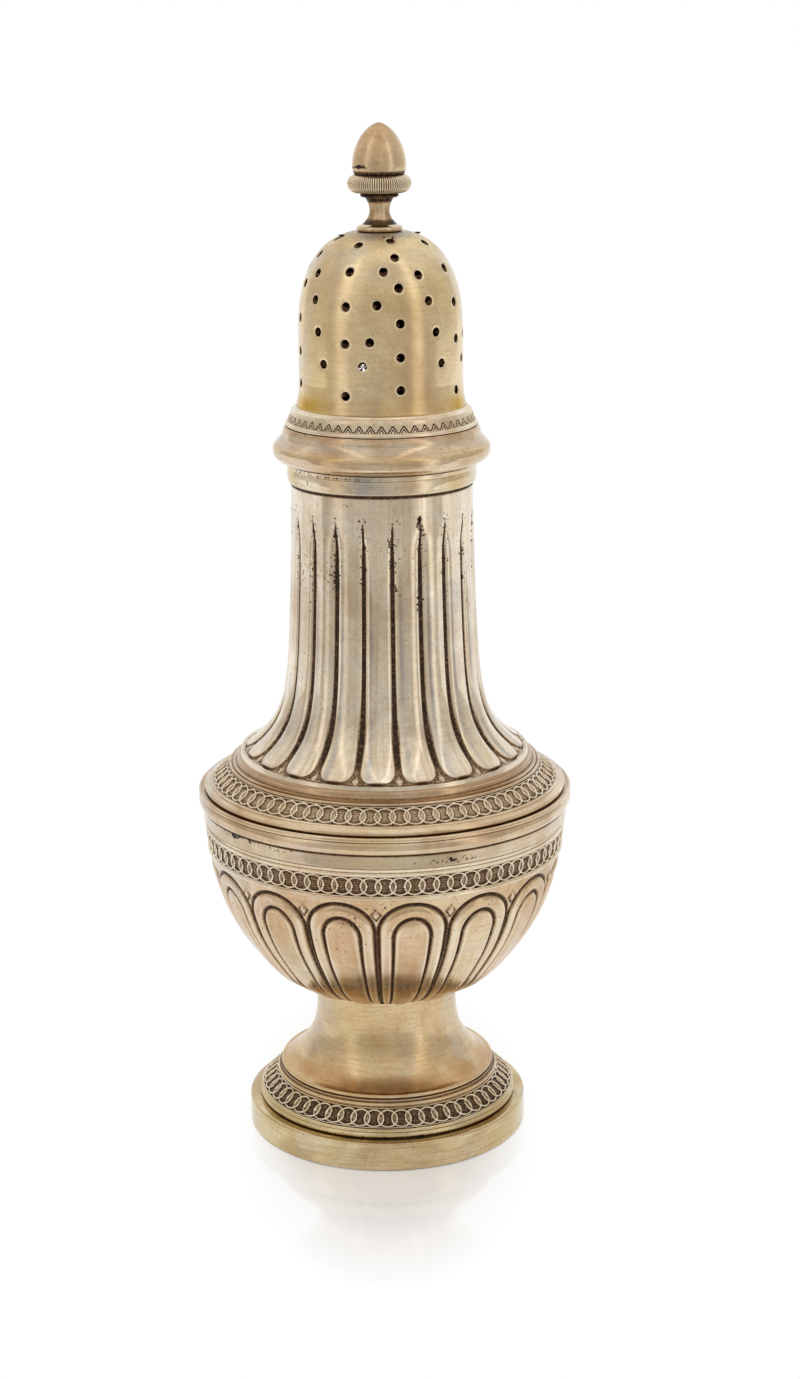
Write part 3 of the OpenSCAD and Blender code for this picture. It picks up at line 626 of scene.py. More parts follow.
COVE_FOOT = 13.85


def plinth_wear(angle, r, z):
    """Verdigris and grit on the ledge behind the plinth's edge, brown on the left."""
    ledge = smooth((z - PLINTH_TOP + 0.1) / 0.1) * smooth((28.5 - r) / 0.5)
    return {"pits": (0.1 + 0.12 * facing(angle, 6, 50)) * ledge,
            "brown": 0.6 * ledge + 0.4 * facing(angle, -48, 14)}


def foot_plinth():
    under = PLINTH_TOP - SHEET
    section = (run((27.7, 0), (28.9, 0), 3) + arc(29.0, 0.5, 0.5, -80, 0, 6)
        + run((29.5, 1.0), (29.45, 5.4), 12) + arc(28.95, 5.7, 0.5, 5, 88, 7)
        + run((28.6, PLINTH_TOP), (FOOT_BACK, PLINTH_TOP), 8)
        + run((FOOT_BACK, under), (27.7, under), 3))
    spun("plinth", section, plinth_silver, "vessel", "foot_plinth", wear_and_painted_light=plinth_wear)


def foot_beads():
    foot = PLINTH_TOP
    section = ([(FOOT_BACK, foot), (26.6, foot), (26.6, foot + 0.1)]
        + arc(26.78, foot + 0.58, 0.5, -78, 66, 14)
        + arc(26.62, foot + 1.56, 0.52, -52, 75, 12)
        + [(26.5, BEADS_TOP), (FOOT_BACK, BEADS_TOP)])
    spun("plinth_beads", section, plinth_silver, "vessel", "foot_beads")


def foot_frieze():
    section = ([(FOOT_BACK, BEADS_TOP)] + run((26.75, BEADS_TOP), (23.4, FOOT_FRIEZE_TOP), 44)
        + [(STEM_BACK, FOOT_FRIEZE_TOP)])
    chain = guilloche(FOOT_RINGS, middle_r=25.08, middle_z=9.95, lean=48.2, ground=0.92, lens=0.42)
    spun("foot_guilloche", section, frieze_silver, "vessel", "foot_frieze",
         around=FOOT_RINGS * 22, relief=chain)


def stem_r(z):
    """Radius of the spreading foot: a cove that runs out towards its lip."""
    up = np.minimum(1, (z - COVE_FOOT) / (BOWL_FOOT - COVE_FOOT))
    return 14.72 + 7.15 * (1 - up) ** 3.6


def cove_creases(angle, r, z):
    """Dark lines between the fillets under the lip of the cove."""
    up = z - FOOT_FRIEZE_TOP
    line = most(soft_line(up - 1.02, 0.1), soft_line(up - 1.55, 0.12))
    return 0, unit(0.95 * line + 0.8 * smooth((0.3 - up) / 0.15)) * (r > 21.9)


def cove_wear_and_painted_reflection(angle, r, z):
    """Brown towards the lip, and a blue-grey painted reflection on both sides."""
    up = z - COVE_FOOT
    sides = facing(angle, -66, 34) + facing(angle, 70, 30)
    return {"brown": 0.9 * smooth((3.65 - up) / 3) * smooth((up + 0.25) / 0.4),
            "cool": 0.45 * sides * smooth((up - 1.65) / 3)}


def foot_stem():
    foot = FOOT_FRIEZE_TOP
    cove = [(stem_r(z), z) for z in np.linspace(foot + 2.49, BOWL_FOOT, 60)]
    inside = [(stem_r(z + SHEET) - 0.63, z) for z in np.linspace(BOWL_FOOT, 14, 16)]
    section = ([(STEM_BACK, foot), (23.3, foot)] + arc(22.95, foot + 0.55, 0.42, -50, 65, 10)
        + [(22.78, foot + 1.05)] + arc(22.6, foot + 1.31, 0.2, -50, 60, 5)
        + [(22.3, foot + 1.55)] + arc(22.13, foot + 1.97, 0.5, -50, 105, 14)
        + cove + inside)
    spun("foot_cove", section, foot_silver, "vessel", "foot_stem",
         relief=cove_creases, wear_and_painted_light=cove_wear_and_painted_reflection)


# Bowl and the bands round it

def bowl_wear_and_painted_shade(angle, r, z):
    """Brown at the bottom, painted shade as brown at both sides, and a few pits in the arches."""
    up = z - BOWL_FOOT
    sides = facing(angle, -74, 42) + facing(angle, 74, 42)
    return {"brown": 0.9 * smooth((12 - up) / 10) + 0.9 * sides,
            "pits": 0.06 * smooth((up - 15) / 6)}


def arched_bowl():
    around = ARCHES * 64
    axis = 0.05
    floor = BOWL_FOOT + SHEET
    rise = (BOWL_FRIEZE_FOOT - BOWL_FOOT) * np.linspace(0, 1, 190) ** 0.85
    outer = [(bowl_r(z), z) for z in BOWL_FOOT + rise]
    inner = [((WALL_R - SHEET) * sqrt(1 - ((WIDEST - z) / (BOWL_RISE - SHEET)) ** 2), z)
             for z in np.linspace(66, floor, 30)]
    section = ([(axis, BOWL_FOOT)] + run((4, BOWL_FOOT), (14.2, BOWL_FOOT), 6) + outer
        + [(WALL_R + 0.2, BOWL_FRIEZE_FOOT), (WALL_R, BOWL_FRIEZE_FOOT + 0.4)]
        + [(WALL_R, SEAM), (WALL_R - SHEET, SEAM)] + inner + [(axis, floor)])
    made = spun("arched_bowl", section, bowl_silver, "vessel", "bowl",
                around=around, relief=bowl_arches, wear_and_painted_light=bowl_wear_and_painted_shade)
    dull_inside(made, len(section) - len(inner) - 2, around)


def bowl_frieze():
    foot, top = BOWL_FRIEZE_FOOT, BAND_FOOT
    section = ([(BAND_BACK, foot)] + arc(36.85, foot + 0.38, 0.36, -80, 75, 8)
        + [(37.02, foot + 0.8)] + run((37.1, foot + 0.9), (37.55, top - 1.45), 46)
        + [(37.5, top - 1.35)] + arc(37.3, top - 1, 0.34, -40, 80, 7)
        + run((37.35, top - 0.6), (37.5, top - 0.05), 4) + [(BAND_BACK, top)])
    chain = guilloche(BOWL_RINGS, middle_r=37.33, middle_z=64.68, lean=-5.9, ground=0.74, lens=0.42)
    spun("bowl_guilloche", section, frieze_silver, "vessel", "bowl_frieze",
         around=BOWL_RINGS * 20, relief=chain)


def band_wear(angle, r, z):
    """Pits on the front right, and along the left of the seam under the rim; thin
    films in front, blue-grey and yellow."""
    right = 0.25 * facing(angle, 20, 20) * soft_band(z - BAND_FOOT - 1.3, 1.4)
    left = 0.21 * facing(angle, -48, 36) * soft_band(z - RIM_FOOT + 0.4, 1.5)
    return {"pits": right + left, "brown": 0.15, "cool": 0.5 * facing(angle, -22, 12),
            "yellow": 0.16 * facing(angle, -6, 16)}


def band_creases(angle, r, z):
    """Dirt in the seams above and below the plain band."""
    above = 0.9 * smooth((z - RIM_FOOT + 0.4) / 0.25)
    return 0, above + 0.55 * smooth((BAND_FOOT + 0.4 - z) / 0.12)


def body_band():
    foot, top = BAND_FOOT, RIM_FOOT
    section = ([(BAND_BACK, foot)] + arc(37.65, foot + 0.2, 0.2, -90, -10, 5)
        + run((37.88, foot + 0.4), (38.0, top - 0.2), 12)
        + arc(37.85, top - 0.15, 0.15, 0, 90, 4) + [(BAND_BACK, top)])
    spun("plain_band", section, band_silver, "vessel", "body_band",
         around=512, wear_and_painted_light=band_wear, relief=band_creases)


def rim_creases(angle, r, z):
    """Dirt under the rim and in the groove below its bead; painted shade on top behind the bead, in the
    gap under the shoulder's lip.
    """
    # Painted shade in the gap between the rim's bead and the shoulder's lip
    top = 0.55 * smooth((z - RIM_TOP + 0.14) / 0.14) * smooth((38.4 - r) / 0.3)
    under = 0.8 * smooth((RIM_FOOT + 0.26 - z) / 0.14)
    groove = 0.6 * soft_line(z - RIM_TOP + 0.94, 0.1)
    return 0, unit(top + under + groove) * (r > 37.5)


def rim_moulding():
    section = ([(BAND_BACK, RIM_FOOT), (38.0, RIM_FOOT), (38.2, RIM_FOOT + 0.15)]
        + arc(36.9, RIM_FOOT + 1.5, 1.9, -38, 36, 22)
        + arc(38.3, RIM_TOP - 0.4, 0.5, -60, 100, 14)
        + [(37.4, RIM_TOP), (BAND_BACK, RIM_TOP)])
    spun("rim", section, trim_silver, "vessel", "rim_moulding",
         around=512, wear_and_painted_light=band_wear, relief=rim_creases)


# Shoulder: a point is given by its way up the slope and its height above it

SLOPE_R = 36.9
SLOPE_Z = 76.0
SLOPE = atan2(NECK_FOOT - SLOPE_Z, SLOPE_R - 28.22)
CHAIN_FROM = 1.4
CHAIN_TO = 5.74


def on_slope(up, out):
    """The r and z of a point on the slope, or above it."""
    return (SLOPE_R - up * cos(SLOPE) + out * sin(SLOPE), SLOPE_Z + up * sin(SLOPE) + out * cos(SLOPE))


def bead_on_slope(up, out, radius, start, end, steps):
    """A bead's curve across the slope, by angles from up the slope."""
    turn = np.radians(np.linspace(start, end, steps))
    return [on_slope(up + radius * cos(a), out + radius * sin(a)) for a in turn]


def shoulder_creases(angle, r, z):
    """Dark lines beside the fillets, a dark hollow above them, brown stain under the lobes, and
    painted shade along the seam below, on the lip above the rim's bead."""
    up = (SLOPE_R - r) * cos(SLOPE) + (z - SLOPE_Z) * sin(SLOPE)
    line = most(0.7 * soft_line(up - 6.65, 0.1), 0.7 * soft_line(up - 5.8, 0.12))
    hollow = 0.72 * soft_line(up - 7.6, 0.26)
    stain = 0.2 * smooth((up - 8.55) / 0.3)
    # Painted shade on the lower half of the lip, in the gap above the rim's bead
    under = 0.85 * smooth((RIM_TOP + 0.42 - z) / 0.22) * (r > 36.6)
    fillet = 0.5 * soft_line(up - 0.72, 0.09) * (z > RIM_TOP + 0.6)
    return 0, unit(most(line, hollow, stain) * (z > 78) + under + fillet)


def shoulder_wear(angle, r, z):
    """Brown towards the neck."""
    return {"brown": 0.9 * smooth(z - NECK_FOOT + 3.6)}


def shoulder():
    inside = WALL_R - SHEET
    lip = RIM_TOP + 0.02
    low_edge = ([(inside, SEAM), (WALL_R, SEAM), (WALL_R, lip), (SLOPE_R, lip)]
                + arc(37.0, RIM_TOP + 0.6, 0.62, -80, 42, 14))
    strip = [on_slope(up, 0.1 * sin(pi * (up - 0.3))) for up in np.linspace(0.35, 1.28, 7)]
    chain_bed = [on_slope(CHAIN_FROM - 0.05, -0.1), on_slope(CHAIN_FROM - 0.04, -0.95),
                 on_slope(CHAIN_TO + 0.02, -0.95), on_slope(CHAIN_TO + 0.03, -0.1)]
    hollow = [on_slope(up, -0.3 * sin(pi * (up - 6.8) / 1.5)) for up in np.linspace(6.9, 8.2, 8)]
    skin = ([on_slope(5.86, -0.14)] + bead_on_slope(6.25, -0.05, 0.33, 165, 15, 9)
            + [on_slope(6.64, -0.16), on_slope(6.8, 0)] + hollow
            + bead_on_slope(8.88, -0.3, 0.7, 155, 25, 12)
            + [on_slope(9.56, -0.1), on_slope(9.9, -0.14)]
            + [(29.5, NECK_FOOT - 0.75), (29.1, NECK_FOOT - 0.54), (28.4, NECK_FOOT - 0.3)])
    under = [(26.0, NECK_FOOT - 0.2), on_slope(9, -1.8), on_slope(2, -1.8), (inside, RIM_TOP + 0.3)]
    section = low_edge + strip + chain_bed + skin + under
    spun("shoulder_mouldings", section, trim_silver, "vessel", "shoulder",
         around=512, relief=shoulder_creases, wear_and_painted_light=shoulder_wear)


def shoulder_frieze():
    back = -0.9
    section = ([on_slope(CHAIN_FROM, back)] + run(on_slope(CHAIN_FROM, 0), on_slope(CHAIN_TO, 0), 46)
        + [on_slope(CHAIN_TO, back)])
    middle_r, middle_z = on_slope((CHAIN_FROM + CHAIN_TO) / 2, 0)
    chain = guilloche(SHOULDER_RINGS, middle_r, middle_z, 90 - degrees(SLOPE), ground=0.54, lens=0.26)
    spun("shoulder_guilloche", section, frieze_silver, "vessel", "shoulder_frieze",
         around=SHOULDER_RINGS * 20, relief=chain)


def neck_inside(z):
    """Radius of the neck's inside: the mouth's, or the flare's less its wall."""
    wall = 1.65 * (1 + 0.9 * exp(-(z - NECK_FOOT + 0.2) / 5))
    return min(MOUTH_R, neck_r(z) - wall)


def fluted_neck():
    around = LOBES * 36
    start = NECK_FOOT + 0.1
    levels = start + (MOUTH - start) * np.linspace(0, 1, 190) ** 1.9
    outer = [(neck_r(z), z) for z in levels[:-1]]
    inner = [(neck_inside(z), z) for z in NECK_FOOT + 43.0 * np.linspace(1, 0, 24) ** 1.9]
    section = ([(30.0, NECK_FOOT - 1.2), (29.9, NECK_FOOT - 0.7), (29.8, NECK_FOOT - 0.25)] + outer
        + arc(18.35, MOUTH - 0.15, 0.15, 0, 90, 4)
        + [(MOUTH_R, MOUTH), (MOUTH_R, MOUTH - 11.9)] + inner)
    made = spun("fluted_neck", section, neck_silver, "vessel", "neck",
                around=around, relief=neck_lobes, wear_and_painted_light=neck_wear_and_painted_light)
    dull_inside(made, len(section) - len(inner) - 2, around)


# Cover

FLANGE_FOOT = 143.3


def skirt_relief(angle, r, z):
    """A scratched line on the left, grime along the seam, and darker just under the flange."""
    up = z - MOUTH
    ragged = smooth(0.6 + np.sin(37 * angle) * np.sin(91 * angle + 1))
    line = 0.95 * soft_band(up - 3.65, 0.22) * facing(angle, -30, 42) * ragged
    seam = soft_band(up - 0.1, 0.4) + smooth((up - 4.05) / 0.2)
    return -0.08 * line, unit(line + seam) * (r > 18)


def skirt_wear(angle, r, z):
    """Yellow at both edges, blue-grey and brown in front, black marks on the left."""
    return {"pits": 0.13 * facing(angle, -58, 26),
            "yellow": 0.5 * facing(angle, -74, 20) + 0.3 * facing(angle, 52, 26),
            "cool": 0.8 * facing(angle, -8, 26),
            "brown": 0.25 * facing(angle, 22, 24)}


def cover_skirt():
    back = MOUTH_R - 0.03
    belly = [(19.12 + 0.13 * sin(pi * (up - 1) / 2.1), MOUTH + up)
             for up in np.linspace(1.05, 3.05, 14)]
    section = ([(back, MOUTH), (18.45, MOUTH), (18.55, MOUTH + 0.15)]
        + arc(18.35, MOUTH + 0.92, 0.78, -75, -8, 8) + belly
        + [(19.02, MOUTH + 3.18), (19.16, MOUTH + 3.3)]
        + run((19.27, MOUTH + 3.4), (19.32, MOUTH + 4.7), 12)
        + [(18.8, SKIRT_TOP), (back, SKIRT_TOP)])
    spun("cover_skirting", section, skirt_silver, "cover", "cover_skirt",
         around=720, relief=skirt_relief, wear_and_painted_light=skirt_wear)


def flange_wear(angle, r, z):
    """Brown under the bead and along the top of the roll, yellowish below that."""
    down = LEAVES_FOOT - z
    return {"brown": 0.9 * smooth((1 - down) / 0.5) + 0.6 * soft_line(down - 3.1, 0.6),
            "yellow": 0.22 * soft_line(down - 4, 0.5),
            "cool": 0.6 * soft_line(down - 2.1, 0.5)}


def cover_flange():
    top = LEAVES_FOOT
    under = [(19.4 + 2.65 * sin(a), top - 4.95 - 2.3 * cos(a)) for a in np.linspace(0.1, 1.56, 20)]
    section = ([(COVER_BACK, FLANGE_FOOT), (19.3, FLANGE_FOOT)] + under
        + arc(20.55, top - 4.55, 1.5, 4, 56, 12)
        + arc(22.0, top - 0.95, 1.95, 222, 180, 12)
        + [(19.7, top - 0.25), (19.5, top), (COVER_BACK, top)])
    spun("cover_shoulder", section, trim_silver, "cover", "cover_flange",
         around=360, wear_and_painted_light=flange_wear)


def cover_frieze():
    foot, top = LEAVES_FOOT, DOME_FOOT
    section = ([(COVER_BACK, foot)] + arc(19.0, foot + 0.45, 0.45, -80, 75, 12)
        + run((19.0, foot + 0.92), (18.2, top - 0.95), 44)
        + arc(17.75, top - 1, 0.45, 15, 80, 8)
        + run((17.6, top - 0.3), (17.3, top), 4) + [(COVER_BACK, top)])
    spun("cover_leaf_tips", section, frieze_silver, "cover", "cover_frieze",
         around=LEAVES * 26, relief=leaf_tips)


# Dome, by the height above its foot

DOME_R = 16.5
DOME_SIDE = 13.5
DOME_HIGH = DISC_FOOT - DOME_FOOT
CROWN = 21.4
FULLNESS = 2.6
HOLE = 0.85


def dome_r(up):
    """Radius of the dome: an upright side, then a full round crown."""
    over = unit((up - DOME_SIDE) / CROWN)
    return DOME_R * (1 - over ** FULLNESS) ** (1 / FULLNESS)


def dome_holes():
    """Direction and height of each sprinkling hole: fans of holes on a column, and
    a shorter column between fans. Heights are shares of the dome's own."""
    holes = []
    for fan in range(4):
        middle = 18 + 90 * fan
        holes += [(middle - 4.4, share) for share in (0.146, 0.332, 0.525, 0.723, 0.886, 0.971)]
        holes += [(middle + 47, share) for share in (0.111, 0.408, 0.618, 0.81, 0.95)]
        pairs = ((0.283, 0.283), (0.42, 0.464), (0.63, 0.644), (0.812, 0.79))
        for i, (left, right) in enumerate(pairs):
            spread = 90 * (0.34 - 0.34 * i / 6)
            holes += [(middle - spread, left), (middle + spread - 2, right)]
    return holes


def dome_wear(angle, r, z):
    """Yellow film round the foot, thickest at both sides, thin on the left and high
    on the right; blue-grey on the crown and low in front; the crown is dull."""
    up = z - DOME_FOOT
    sides = facing(angle, -78, 50) + facing(angle, 74, 34)
    film = smooth((5 - up) / 4) * unit(0.22 + 0.85 * sides) * smooth(1.6 - 0.3 * up)
    film = film + 0.2 * facing(angle, -48, 28)
    film = film + 0.2 * facing(angle, 48, 22) * soft_band(up - 25.5, 7)
    cool = 0.8 * smooth((up - 23.5) / 8) + 0.75 * facing(angle, -10, 24) * smooth((13.5 - up) / 7)
    return {"yellow": unit(film), "cool": unit(cool),
            "brown": 0.6 * facing(angle, 16, 45), "dull": 0.9 * smooth((up - 28.5) / 4)}


def pierce(points):
    """Dishes the skin round every sprinkling hole and rounds the hole's edge. Gives
    the patina in the holes, the bright edges round them, and each point's distance
    from the nearest hole's middle."""
    patina_and_painted_shade = np.zeros(len(points))
    rubbed = np.zeros(len(points))
    nearest = np.full(len(points), 9.0)
    for turn, share in dome_holes():
        up = share * DOME_HIGH
        low = min(up, DOME_SIDE)
        climb = atan2(up - low, dome_r(up))
        turn = radians(turn)
        way = np.array([sin(turn) * cos(climb), -cos(turn) * cos(climb), sin(climb)])
        reach = points - np.array([0, 0, DOME_FOOT + low])
        along = reach @ way
        off = reach - along[:, None] * way
        away = np.where(along > 0, np.linalg.norm(off, axis=1), 9.0)
        dish = unit(1 - (away - HOLE) / 0.45) ** 2
        patina_and_painted_shade = np.maximum(patina_and_painted_shade, 0.75 * unit(1 - (away - HOLE) / 0.1))
        rubbed = np.maximum(rubbed, soft_line(away - HOLE - 0.22, 0.13))
        near = (away < HOLE + 0.09) & (away > 0.3)
        points[near] += off[near] * (HOLE / away[near] - 1)[:, None]
        points -= 0.16 * dish[:, None] * way * (away > 0.3)[:, None]
        nearest = np.minimum(nearest, away)
    return patina_and_painted_shade, rubbed, nearest


def pierced_dome():
    """The skin of the dome, opened at every hole, then given its sheet."""
    around = 560
    crown = DOME_SIDE + (DOME_HIGH - DOME_SIDE) * np.sin(np.linspace(0, pi / 2, 110)) ** 1.15
    profile = ([(17.2, 0), (17.05, 0.4)] + run((16.95, 0.8), (16.7, 2.0), 8)
        + run((16.66, 2.2), (DOME_R, 5.0), 14) + run((DOME_R, 5.2), (DOME_R, 13.4), 40)
        + [(dome_r(up), up) for up in crown] + run((5.6, DOME_HIGH), (1.1, DOME_HIGH), 10))
    section = [(r, DOME_FOOT + up) for r, up in profile]
    points, marks = on_lathe(section, around, wear_and_painted_light=dome_wear)
    marks["patina_and_painted_shade"], marks["rubbed"], nearest = pierce(points)
    faces = [f for f in ring_faces(len(section), around, closed=False)
             if min(nearest[f]) > HOLE - 0.3 or max(nearest[f]) > HOLE + 0.09]
    made = piece("pierced_dome", points, faces, marks, dome_silver, "cover", "dome")
    sheet = made.modifiers.new("sheet", "SOLIDIFY")
    sheet.thickness = SHEET * MM
    sheet.offset = -1
    # The inside and the holes' cut edges take this nearly black silver: tarnish, and painted shade that
    # makes the holes read dark
    made.data.materials.append(inside_silver)
    sheet.material_offset = sheet.material_offset_rim = 1


# Finial

ACORN_WIDE = 5.35
ACORN_WAIST = 201.5


def finial_base():
    section = ([(STUD_HOLE, DISC_FOOT), (4.1, DISC_FOOT)] + arc(4.0, DISC_FOOT + 0.7, 0.6, -72, 85, 12)
        + [(3.7, WAIST_FOOT - 0.15), (3.5, WAIST_FOOT), (STUD_HOLE, WAIST_FOOT)])
    spun("finial_disc", section, trim_silver, "cover", "finial_base", around=160)


def stem_dark_and_painted_highlight(angle, r, z):
    """Dark under the cup and at the foot, and darker round the sides and back, so that the front shows
    a painted highlight.
    """
    darkening = 0.95 * soft_band(z - CUP_FOOT + 0.5, 0.7) + 0.6 * smooth((WAIST_FOOT + 1.3 - z) / 0.9)
    # Everything but the front is darkened: a painted highlight in front
    return 0, unit(darkening + 0.35 * (1 - facing(angle, 4, 44)))


def finial_stem():
    tall = CUP_FOOT - WAIST_FOOT
    waist = [(2.0 + (1.4 if s < 0 else 0.9) * s * s, WAIST_FOOT + tall * (s + 1) / 2)
             for s in np.linspace(-1, 1, 32)]
    section = [(STUD_HOLE, WAIST_FOOT)] + waist + [(STUD_HOLE, CUP_FOOT)]
    spun("finial_waist", section, trim_silver, "cover", "finial_stem",
         around=160, relief=stem_dark_and_painted_highlight)


def finial_cup():
    foot = CUP_FOOT
    section = ([(STUD_HOLE, foot), (3.5, foot)] + arc(3.55, foot + 0.32, 0.27, -90, 90, 8)
        + [(3.4, foot + 0.6), (3.8, foot + 0.8)] + arc(4.55, foot + 2.6, 1.78, -104, 92, 30)
        + [(4.3, ACORN_FOOT), (STUD_HOLE, ACORN_FOOT)])
    spun("milled_cup", section, frieze_silver, "cover", "finial_cup",
         around=MILLING * 12, relief=milled_belly)


def acorn_wear(angle, r, z):
    """Black marks low on the acorn's left, brown towards its tip."""
    low = soft_band(z - ACORN_FOOT - 1.5, 0.75)
    return {"pits": 0.42 * low * facing(angle, -50, 46),
            "brown": 0.8 * smooth((z - ACORN_TOP + 6) / 4)}


def acorn_creases(angle, r, z):
    """Dirt where the acorn sits in its cup."""
    return 0, 0.9 * smooth((ACORN_FOOT + 0.85 - z) / 0.3)


def finial_acorn():
    tall = ACORN_TOP - ACORN_WAIST
    nut = [(ACORN_WIDE * cos(a) ** 1.26, ACORN_WAIST + tall * sin(a)) for a in np.linspace(0, 1.54, 44)]
    section = ([(STUD_HOLE, ACORN_FOOT), (4.95, ACORN_FOOT), (5.1, ACORN_FOOT + 0.3)]
        + [(5.25, ACORN_FOOT + 0.8)] + nut
        + [(0.03, ACORN_TOP), (0.03, ACORN_TOP - 4), (STUD_HOLE, ACORN_TOP - 5)])
    spun("acorn", section, finial_silver, "cover", "finial_acorn",
         around=200, relief=acorn_creases, wear_and_painted_light=acorn_wear)


for make in (foot_plinth, foot_beads, foot_frieze, foot_stem, arched_bowl, bowl_frieze, body_band,
             rim_moulding, shoulder, shoulder_frieze, fluted_neck, cover_skirt, cover_flange,
             cover_frieze, pierced_dome, finial_base, finial_stem, finial_cup, finial_acorn):
    make()

for node in ("cover_bezel", "finial_stud", "finial_nut"):
    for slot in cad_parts[node].material_slots:
        slot.material = trim_silver


# Studio, in metres: a white cove behind, a dim tent in front, a soft light above

BOARD_EDGE = -0.13
BOARD_SIDE = 20
TENT_R = 1.1
TENT_LOW = 0.02
TENT_WALL = 1.0
TENT_TOP = (0, 0.2, 1.35)
WHITE = (1, 1, 1, 1)


def white_table():
    """Glossy white board: white far off, with a faint mirror and shadow near the foot."""
    material, put = new_material("white_gloss_board")
    white = put("BsdfDiffuse", {"Color": linear("#f6f5f3")})
    glow = put("Emission", {"Color": WHITE, "Strength": 1.0})
    lit = put("MixShader", {0: 0.43, 1: white, 2: glow})
    mirror = put("BsdfGlossy", {"Color": WHITE, "Roughness": 0.07})
    gloss = put("Fresnel", {"IOR": 2.3})
    gloss = put("Math", {0: gloss, 1: 1.2}, operation="MULTIPLY")
    board = put("MixShader", {0: gloss, 1: lit, 2: mirror})
    # Shadow and mirror end 32 mm to each side of the axis and 80 mm in front of it
    place = put("NewGeometry", out="Position")
    place = put("VectorMath", {0: place, 1: (2.0, 0.8, 1.0)}, operation="MULTIPLY")
    away = put("VectorMath", {0: place}, out="Value", operation="LENGTH")
    far = put("MapRange", {"Value": away, "From Min": 36 * MM, "From Max": 64 * MM})
    put("OutputMaterial", {"Surface": put("MixShader", {0: far, 1: board, 2: glow})})
    corners = [(-BOARD_SIDE, BOARD_EDGE, 0), (BOARD_SIDE, BOARD_EDGE, 0),
               (BOARD_SIDE, BOARD_SIDE, 0), (-BOARD_SIDE, BOARD_SIDE, 0)]
    mesh_object("table", corners, [(0, 1, 2, 3)], material)


def tent_cloth():
    """Grey cloth with soft folds 0.45 m across: brighter to the left and right of the camera, at the
    sides, and higher up."""
    material, put = new_material("grey_tent_cloth")
    place = put("NewGeometry", out="Position")
    height, turn = round_the_axis(put, place)
    folds = put("TexNoise", {"Vector": place, "Scale": 1 / 0.45, "Detail": 2.0})
    light = put("MapRange", {"Value": folds, "From Min": 0.3, "From Max": 0.7,
            "To Min": 0.57, "To Max": 0.69})
    for middle, spread, amount in ((-56, 17, 0.36), (53, 15, 0.5)):
        off = put("Math", {0: turn, 1: radians(middle)}, operation="SUBTRACT")
        off = put("Math", {0: off}, operation="ABSOLUTE")
        more = put("MapRange", {"Value": off, "From Max": radians(spread), "To Min": amount,
            "To Max": 0.0}, interpolation_type="SMOOTHSTEP")
        light = put("Math", {0: light, 1: more}, operation="ADD")
    side = put("Math", {0: turn}, operation="ABSOLUTE")
    for value, start, full, amount in ((side, 1.5, 2.2, 0.14), (height, 0.35, 1.3, 0.3)):
        more = put("MapRange", {"Value": value, "From Min": start, "From Max": full, "To Max": amount})
        light = put("Math", {0: light, 1: more}, operation="ADD")
    glow = put("Emission", {"Color": linear("#fffaf2"), "Strength": light})
    put("OutputMaterial", {"Surface": glow})
    return material


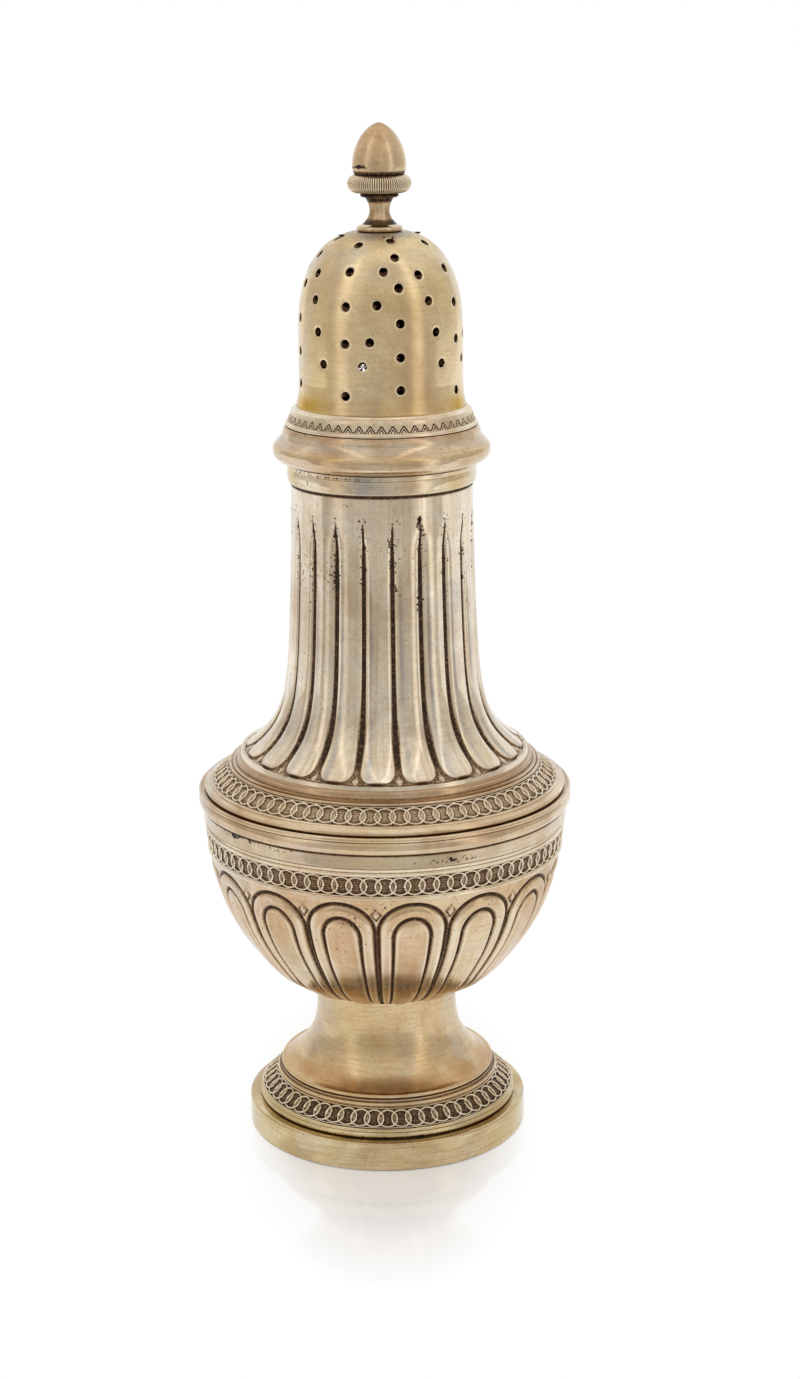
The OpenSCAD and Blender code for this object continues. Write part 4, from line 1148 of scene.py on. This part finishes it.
def dim_tent():
    """The dim side of the studio, walls, roof and ground, which the metal shows and
    the camera does not."""
    turns = np.radians(np.linspace(-134, 134, 53))
    rim = [(TENT_R * sin(a), -TENT_R * cos(a)) for a in turns]
    n = len(rim)
    points = [(x, y, TENT_LOW) for x, y in rim] + [(x, y, TENT_WALL) for x, y in rim] + [TENT_TOP]
    faces = [(i, i + 1, n + i + 1, n + i) for i in range(n - 1)]
    faces += [(n + i, n + i + 1, 2 * n) for i in range(n - 1)]
    # The ground runs from the board's edge out to the wall
    start = len(points)
    points += [(x, min(y, BOARD_EDGE), TENT_LOW) for x, y in rim]
    points += [(x, BOARD_EDGE, 0.0) for x, y in rim]
    faces += [(start + i, start + i + 1, start + n + i + 1, start + n + i) for i in range(n - 1)
              if max(rim[i][1], rim[i + 1][1]) < BOARD_EDGE]
    tent = mesh_object("tent", points, faces, tent_cloth())
    tent.visible_camera = False


def top_light():
    """A square soft box above, a little to the left. A glow of 1 is as bright as white."""
    side, height, reach, turn, glow = 1.0, 1.05, 0.3, radians(-20), 0.7
    lamp = bpy.data.lights.new("top_soft_light", "AREA")
    lamp.size = side
    lamp.energy = glow * pi * side * side
    made = bpy.data.objects.new("top_soft_light", lamp)
    made.location = (reach * sin(turn), -reach * cos(turn), height)
    middle = Vector((0, 0, 0.12))
    made.rotation_euler = (middle - made.location).to_track_quat("-Z", "Y").to_euler()
    made.visible_glossy = False
    bpy.context.scene.collection.objects.link(made)


def white_cove():
    """White all round, from the world."""
    world = bpy.data.worlds.new("white_cove")
    bpy.context.scene.world = world
    world.use_nodes = True
    background = world.node_tree.nodes["Background"]
    background.inputs["Color"].default_value = WHITE
    background.inputs["Strength"].default_value = 1.0


def camera():
    """The photograph's camera, solved from the caster's circles."""
    photo_height_px = 1379
    focal_length_px = 2592
    place = (0, -0.519, 0.235)
    pitch, yaw, roll = (radians(a) for a in (15.11, 0.37, 0.42))
    right = Vector((cos(yaw), -sin(yaw), 0))
    level = Vector((sin(yaw), cos(yaw), 0))
    ahead = cos(pitch) * level - sin(pitch) * Vector((0, 0, 1))
    up = sin(pitch) * level + cos(pitch) * Vector((0, 0, 1))
    across = cos(roll) * right - sin(roll) * up
    upright = sin(roll) * right + cos(roll) * up
    lens = bpy.data.cameras.new("photo_camera")
    lens.sensor_fit = "VERTICAL"
    lens.sensor_height = 36
    lens.lens = focal_length_px * lens.sensor_height / photo_height_px
    made = bpy.data.objects.new("photo_camera", lens)
    axes = Matrix((across, upright, -ahead)).transposed().to_4x4()
    made.matrix_world = Matrix.Translation(place) @ axes
    bpy.context.scene.collection.objects.link(made)
    bpy.context.scene.camera = made


white_cove()
white_table()
dim_tent()
top_light()
camera()
bpy.context.scene.view_settings.view_transform = "Standard"
